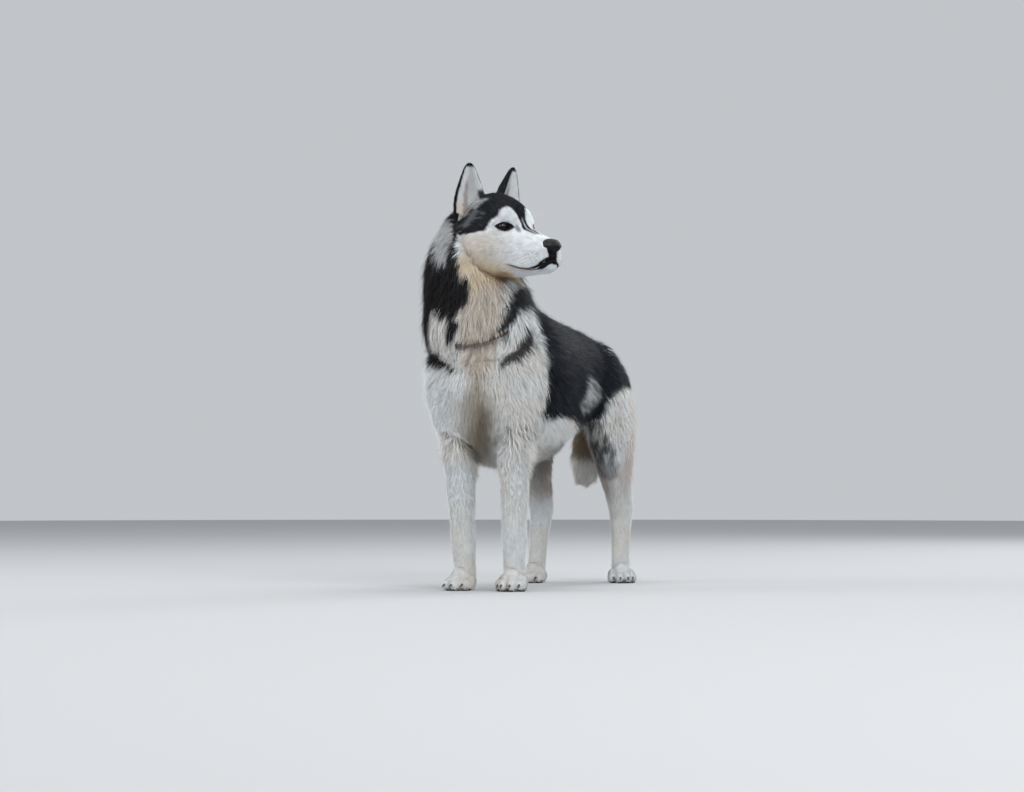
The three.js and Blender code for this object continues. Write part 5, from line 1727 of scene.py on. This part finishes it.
def unroll(axis_at, axis, low, high, tiles=1, tile=None):
    """A function that unrolls places round an axis: the angle round it, and the share of the way along
    it, with a tile of its own for each leg."""
    axis = unit(np.asarray(axis, float))
    first = unit(np.cross(axis, (0.3, 0.9, 0.1)))
    second = np.cross(axis, first)

    def project(points):
        own = points - axis_at
        u = np.arctan2(own @ second, own @ first) / (2 * np.pi) + 0.5
        v = np.clip((own @ axis - low) / (high - low), 0, 1)
        if tile is not None:
            u = (u + tile(points)) / tiles
        return u, v

    return project


def sized(long, long_more, wide, wide_more):
    """A function that gives a lock's length and width from the coat's depth: a + b depth each."""
    return lambda depth: (long + long_more * depth, wide + wide_more * depth)


def left_of(points):
    """1 on the dog's left, 0 on its right."""
    return (points[:, 0] > 0).astype(int)


on_body, on_legs, on_face = sized(9, 0.95, 1.0, 0.042), sized(6, 1.1, 0.9, 0.05), sized(2.8, 1.3, 0.72, 0.05)
head_roll = unroll(HEAD_AT, FORWARD, -112, 104)
trunk_roll = unroll(np.array([0, 0, 400]), (0, 1, 0), -90, 530)
neck_roll = unroll(np.array([-25, 0, 0]), (0, 0, 1), 400, 745)
legs_roll = unroll(np.array([0, 0, 0]), (0, 0, 1), 0, 480, 2, left_of)
tail_roll = unroll(np.array([-20, 540, 300]), (0, 0.3, -0.95), -200, 160)
low_chest = is_torso & (face_middle[:, 1] < 45)
flank = is_torso & ~low_chest
on_left = face_middle[:, 0] > 0
fore, hind = belonging("foreleg_left", "foreleg_right"), belonging("hindleg_left", "hindleg_right")
paws = belonging(*[name for name in part_names if name.startswith("paw")])
# name, slot, where, how many locks, size, veer, gathering, thickness, unrolling
COATS = [
    ("coat_face", "coat_white", is_head & front_of_head, 32000, on_face, 0.12, 0.0, 0.5, head_roll),
    ("coat_cheeks", "coat_white", is_head & ~front_of_head, 24000, on_body, 0.16, 6.0, 0.42, head_roll),
    ("coat_ears", "coat_dark", belonging(*EARS), 11500, on_face, 0.2, 0.0, 0.5, head_roll),
    ("coat_neck", "coat_grey", belonging("neck"), 32500, on_body, 0.26, 13.0, 0.42, neck_roll),
    ("coat_chest", "coat_white", low_chest, 28500, on_body, 0.24, 13.0, 0.42, trunk_roll),
    ("coat_flank_left", "coat_dark", flank & on_left, 25500, on_body, 0.2, 10.0, 0.42, trunk_roll),
    ("coat_flank_right", "coat_dark", flank & ~on_left, 25500, on_body, 0.2, 10.0, 0.42, trunk_roll),
    ("coat_forelegs", "coat_white", fore, 22500, on_legs, 0.14, 3.0, 0.45, legs_roll),
    ("coat_hindlegs", "coat_white", hind, 26000, on_legs, 0.16, 6.0, 0.45, legs_roll),
    ("coat_paws", "coat_white", paws, 10500, on_legs, 0.1, 0.0, 0.5, legs_roll),
    ("coat_tail", "coat_grey", belonging("tail"), 11000, on_body, 0.22, 12.0, 0.42, tail_roll),
]
for seed, coat in enumerate(COATS):
    coat_piece(*coat, seed)
bpy.data.objects.remove(target)
bpy.data.meshes.remove(shrink_mesh)

# Collar. A narrow strap of brown leather, sewn along both edges, lies in the coat at the foot of the
# neck. It shows only in front, where the hair above it parts. Wear has made it paler in places, and the
# sewn edges stay dark.
STRAP_SQUARE, STRAP_MAP_REPEATS = 5, 20
collar_leather, tree = new_material("collar_leather_worn_and_sewn")
place = add(tree, "ShaderNodeUVMap", uv_map="strap")
cut = add(tree, "ShaderNodeSeparateXYZ", {"Vector": place.outputs["UV"]})
solid = add(tree, "ShaderNodeTexCoord").outputs["Object"]
grain = add(tree, "ShaderNodeTexVoronoi", {"Vector": solid, "Scale": 1100.0}, feature="DISTANCE_TO_EDGE")
wear = add(tree, "ShaderNodeTexNoise", {"Vector": solid, "Scale": 120.0, "Detail": 5.0})
from_middle = add(tree, "ShaderNodeMath", {0: cut.outputs["Y"], 1: 0.5}, operation="SUBTRACT")
from_middle = add(tree, "ShaderNodeMath", {0: from_middle.outputs["Value"]}, operation="ABSOLUTE")
seam = add(
    tree, "ShaderNodeMapRange",
    {"Value": from_middle.outputs["Value"], "From Min": 0.3, "From Max": 0.36},
)
tint = add(
    tree, "ShaderNodeMix",
    {"Factor": wear.outputs["Fac"], "A": paint("#3A2415"), "B": paint("#6B4527")}, data_type="RGBA",
)
edged = add(
    tree, "ShaderNodeMix",
    {"Factor": seam.outputs["Result"], "A": tint.outputs["Result"], "B": paint("#2A190E")}, data_type="RGBA",
)
relief = add(
    tree, "ShaderNodeBump", {"Strength": 0.5, "Distance": 0.0003, "Height": grain.outputs["Distance"]}
)
finished(tree, {"Base Color": edged.outputs["Result"], "Roughness": 0.55, "Normal": relief.outputs["Normal"]})


def strap():
    """A flat rounded profile carried round the tilted loop: middle + half width cos + half run sin,
    with its width along the loop's own axis."""
    angle = np.linspace(0, 2 * np.pi, 240, endpoint=False)[:, None]
    out = COLLAR_WIDE * np.cos(angle) * np.array([1.0, 0, 0]) + COLLAR_DEEP * np.sin(angle) * collar_back
    c, s = oval(np.linspace(0, 2 * np.pi, 24, endpoint=False), STRAP_SQUARE)
    profile = out[:, None] + unit(out)[:, None] * (0.5 * STRAP_THICK * c)[:, None]
    profile = profile + collar_up * (0.5 * COLLAR_TALL * s)[:, None]
    rings, sides = profile.shape[:2]
    at = np.arange(rings * sides).reshape(rings, sides)
    beside = np.roll(at, -1, 1)
    faces = np.stack([at, beside, np.roll(beside, -1, 0), np.roll(at, -1, 0)], -1).reshape(-1, 4)
    uv = np.stack(np.broadcast_arrays(angle * STRAP_MAP_REPEATS, 0.5 + 0.5 * s[None]), -1).reshape(-1, 2)
    return collar_middle + profile.reshape(-1, 3), faces[:, ::-1], uv


points, faces, uv = strap()
strap_mesh = mesh_of("collar_strap", points, faces)
with_uv(strap_mesh, "strap", uv)
fitted("collar_strap", strap_mesh, collar_leather, "collar_leather", "collar")

# Whiskers, brow hairs and the hairs of the chin. Each is one stiff tapering bristle set in the skin,
# drawn in clear horn-like fibre. Its smooth surface gives it a thin bright line.
whisker_hair, tree = new_material("whisker_single_stiff_hair")
place = add(tree, "ShaderNodeTexCoord")
thickness = add(tree, "ShaderNodeTexNoise", {"Vector": place.outputs["Object"], "Scale": 200.0})
tint = add(
    tree, "ShaderNodeMix",
    {"Factor": thickness.outputs["Fac"], "A": paint("#D8D6D2"), "B": paint("#F2F1EE")}, data_type="RGBA",
)
finished(tree, {"Base Color": tint.outputs["Result"], "Roughness": 0.35})
WHISKER_THICK, FINE = 0.42, 0.8
WHISKER_BEND, BROW_BEND = np.array([-0.3, 0, -0.28]), np.array([0, 0, -3.0])


def bristle(root, way, long, bend, fineness):
    """A thin tube that runs from its root by way long t + bend t^2 and tapers to its tip."""
    t = np.linspace(0, 1, 9)[:, None]
    path = np.array(root) + unit(np.array(way)) * long * t + bend * t * t
    return tube(from_head(path), WHISKER_THICK * fineness * (1 - 0.85 * t[:, 0]), 3)


def whiskers():
    """On either side the whiskers of the pad, five hairs over the brow and eight under the chin."""
    random = np.random.default_rng(77)
    shapes = []
    for side in (1, -1):
        for root in WHISKER_ROOTS:
            long = random.uniform(26, 44)
            way = (random.uniform(-0.5, 0.2), side, random.uniform(-0.35, 0.05))
            shapes.append(bristle(root * (1, side, 1), way, long, WHISKER_BEND * long, 1))
        for k in range(5):
            root = (9 - 2.2 * k, side * (27 + 4.5 * k), 17 + 1.2 * k)
            way = (0.75, side * random.uniform(0.2, 0.7), random.uniform(0.3, 0.8))
            shapes.append(bristle(root, way, random.uniform(16, 26), BROW_BEND, FINE))
        for k in range(8):
            root = (96 - 5 * k, side * (6 + 2.6 * k), -90 + 0.3 * k)
            way = (random.uniform(0.0, 0.5), side * random.uniform(0.1, 0.5), -1.0)
            shapes.append(bristle(root, way, random.uniform(7, 15), 0, FINE))
    return gathered(shapes)


points, faces = whiskers()
fitted("whiskers", mesh_of("whiskers", points, faces), whisker_hair, "coat_white")
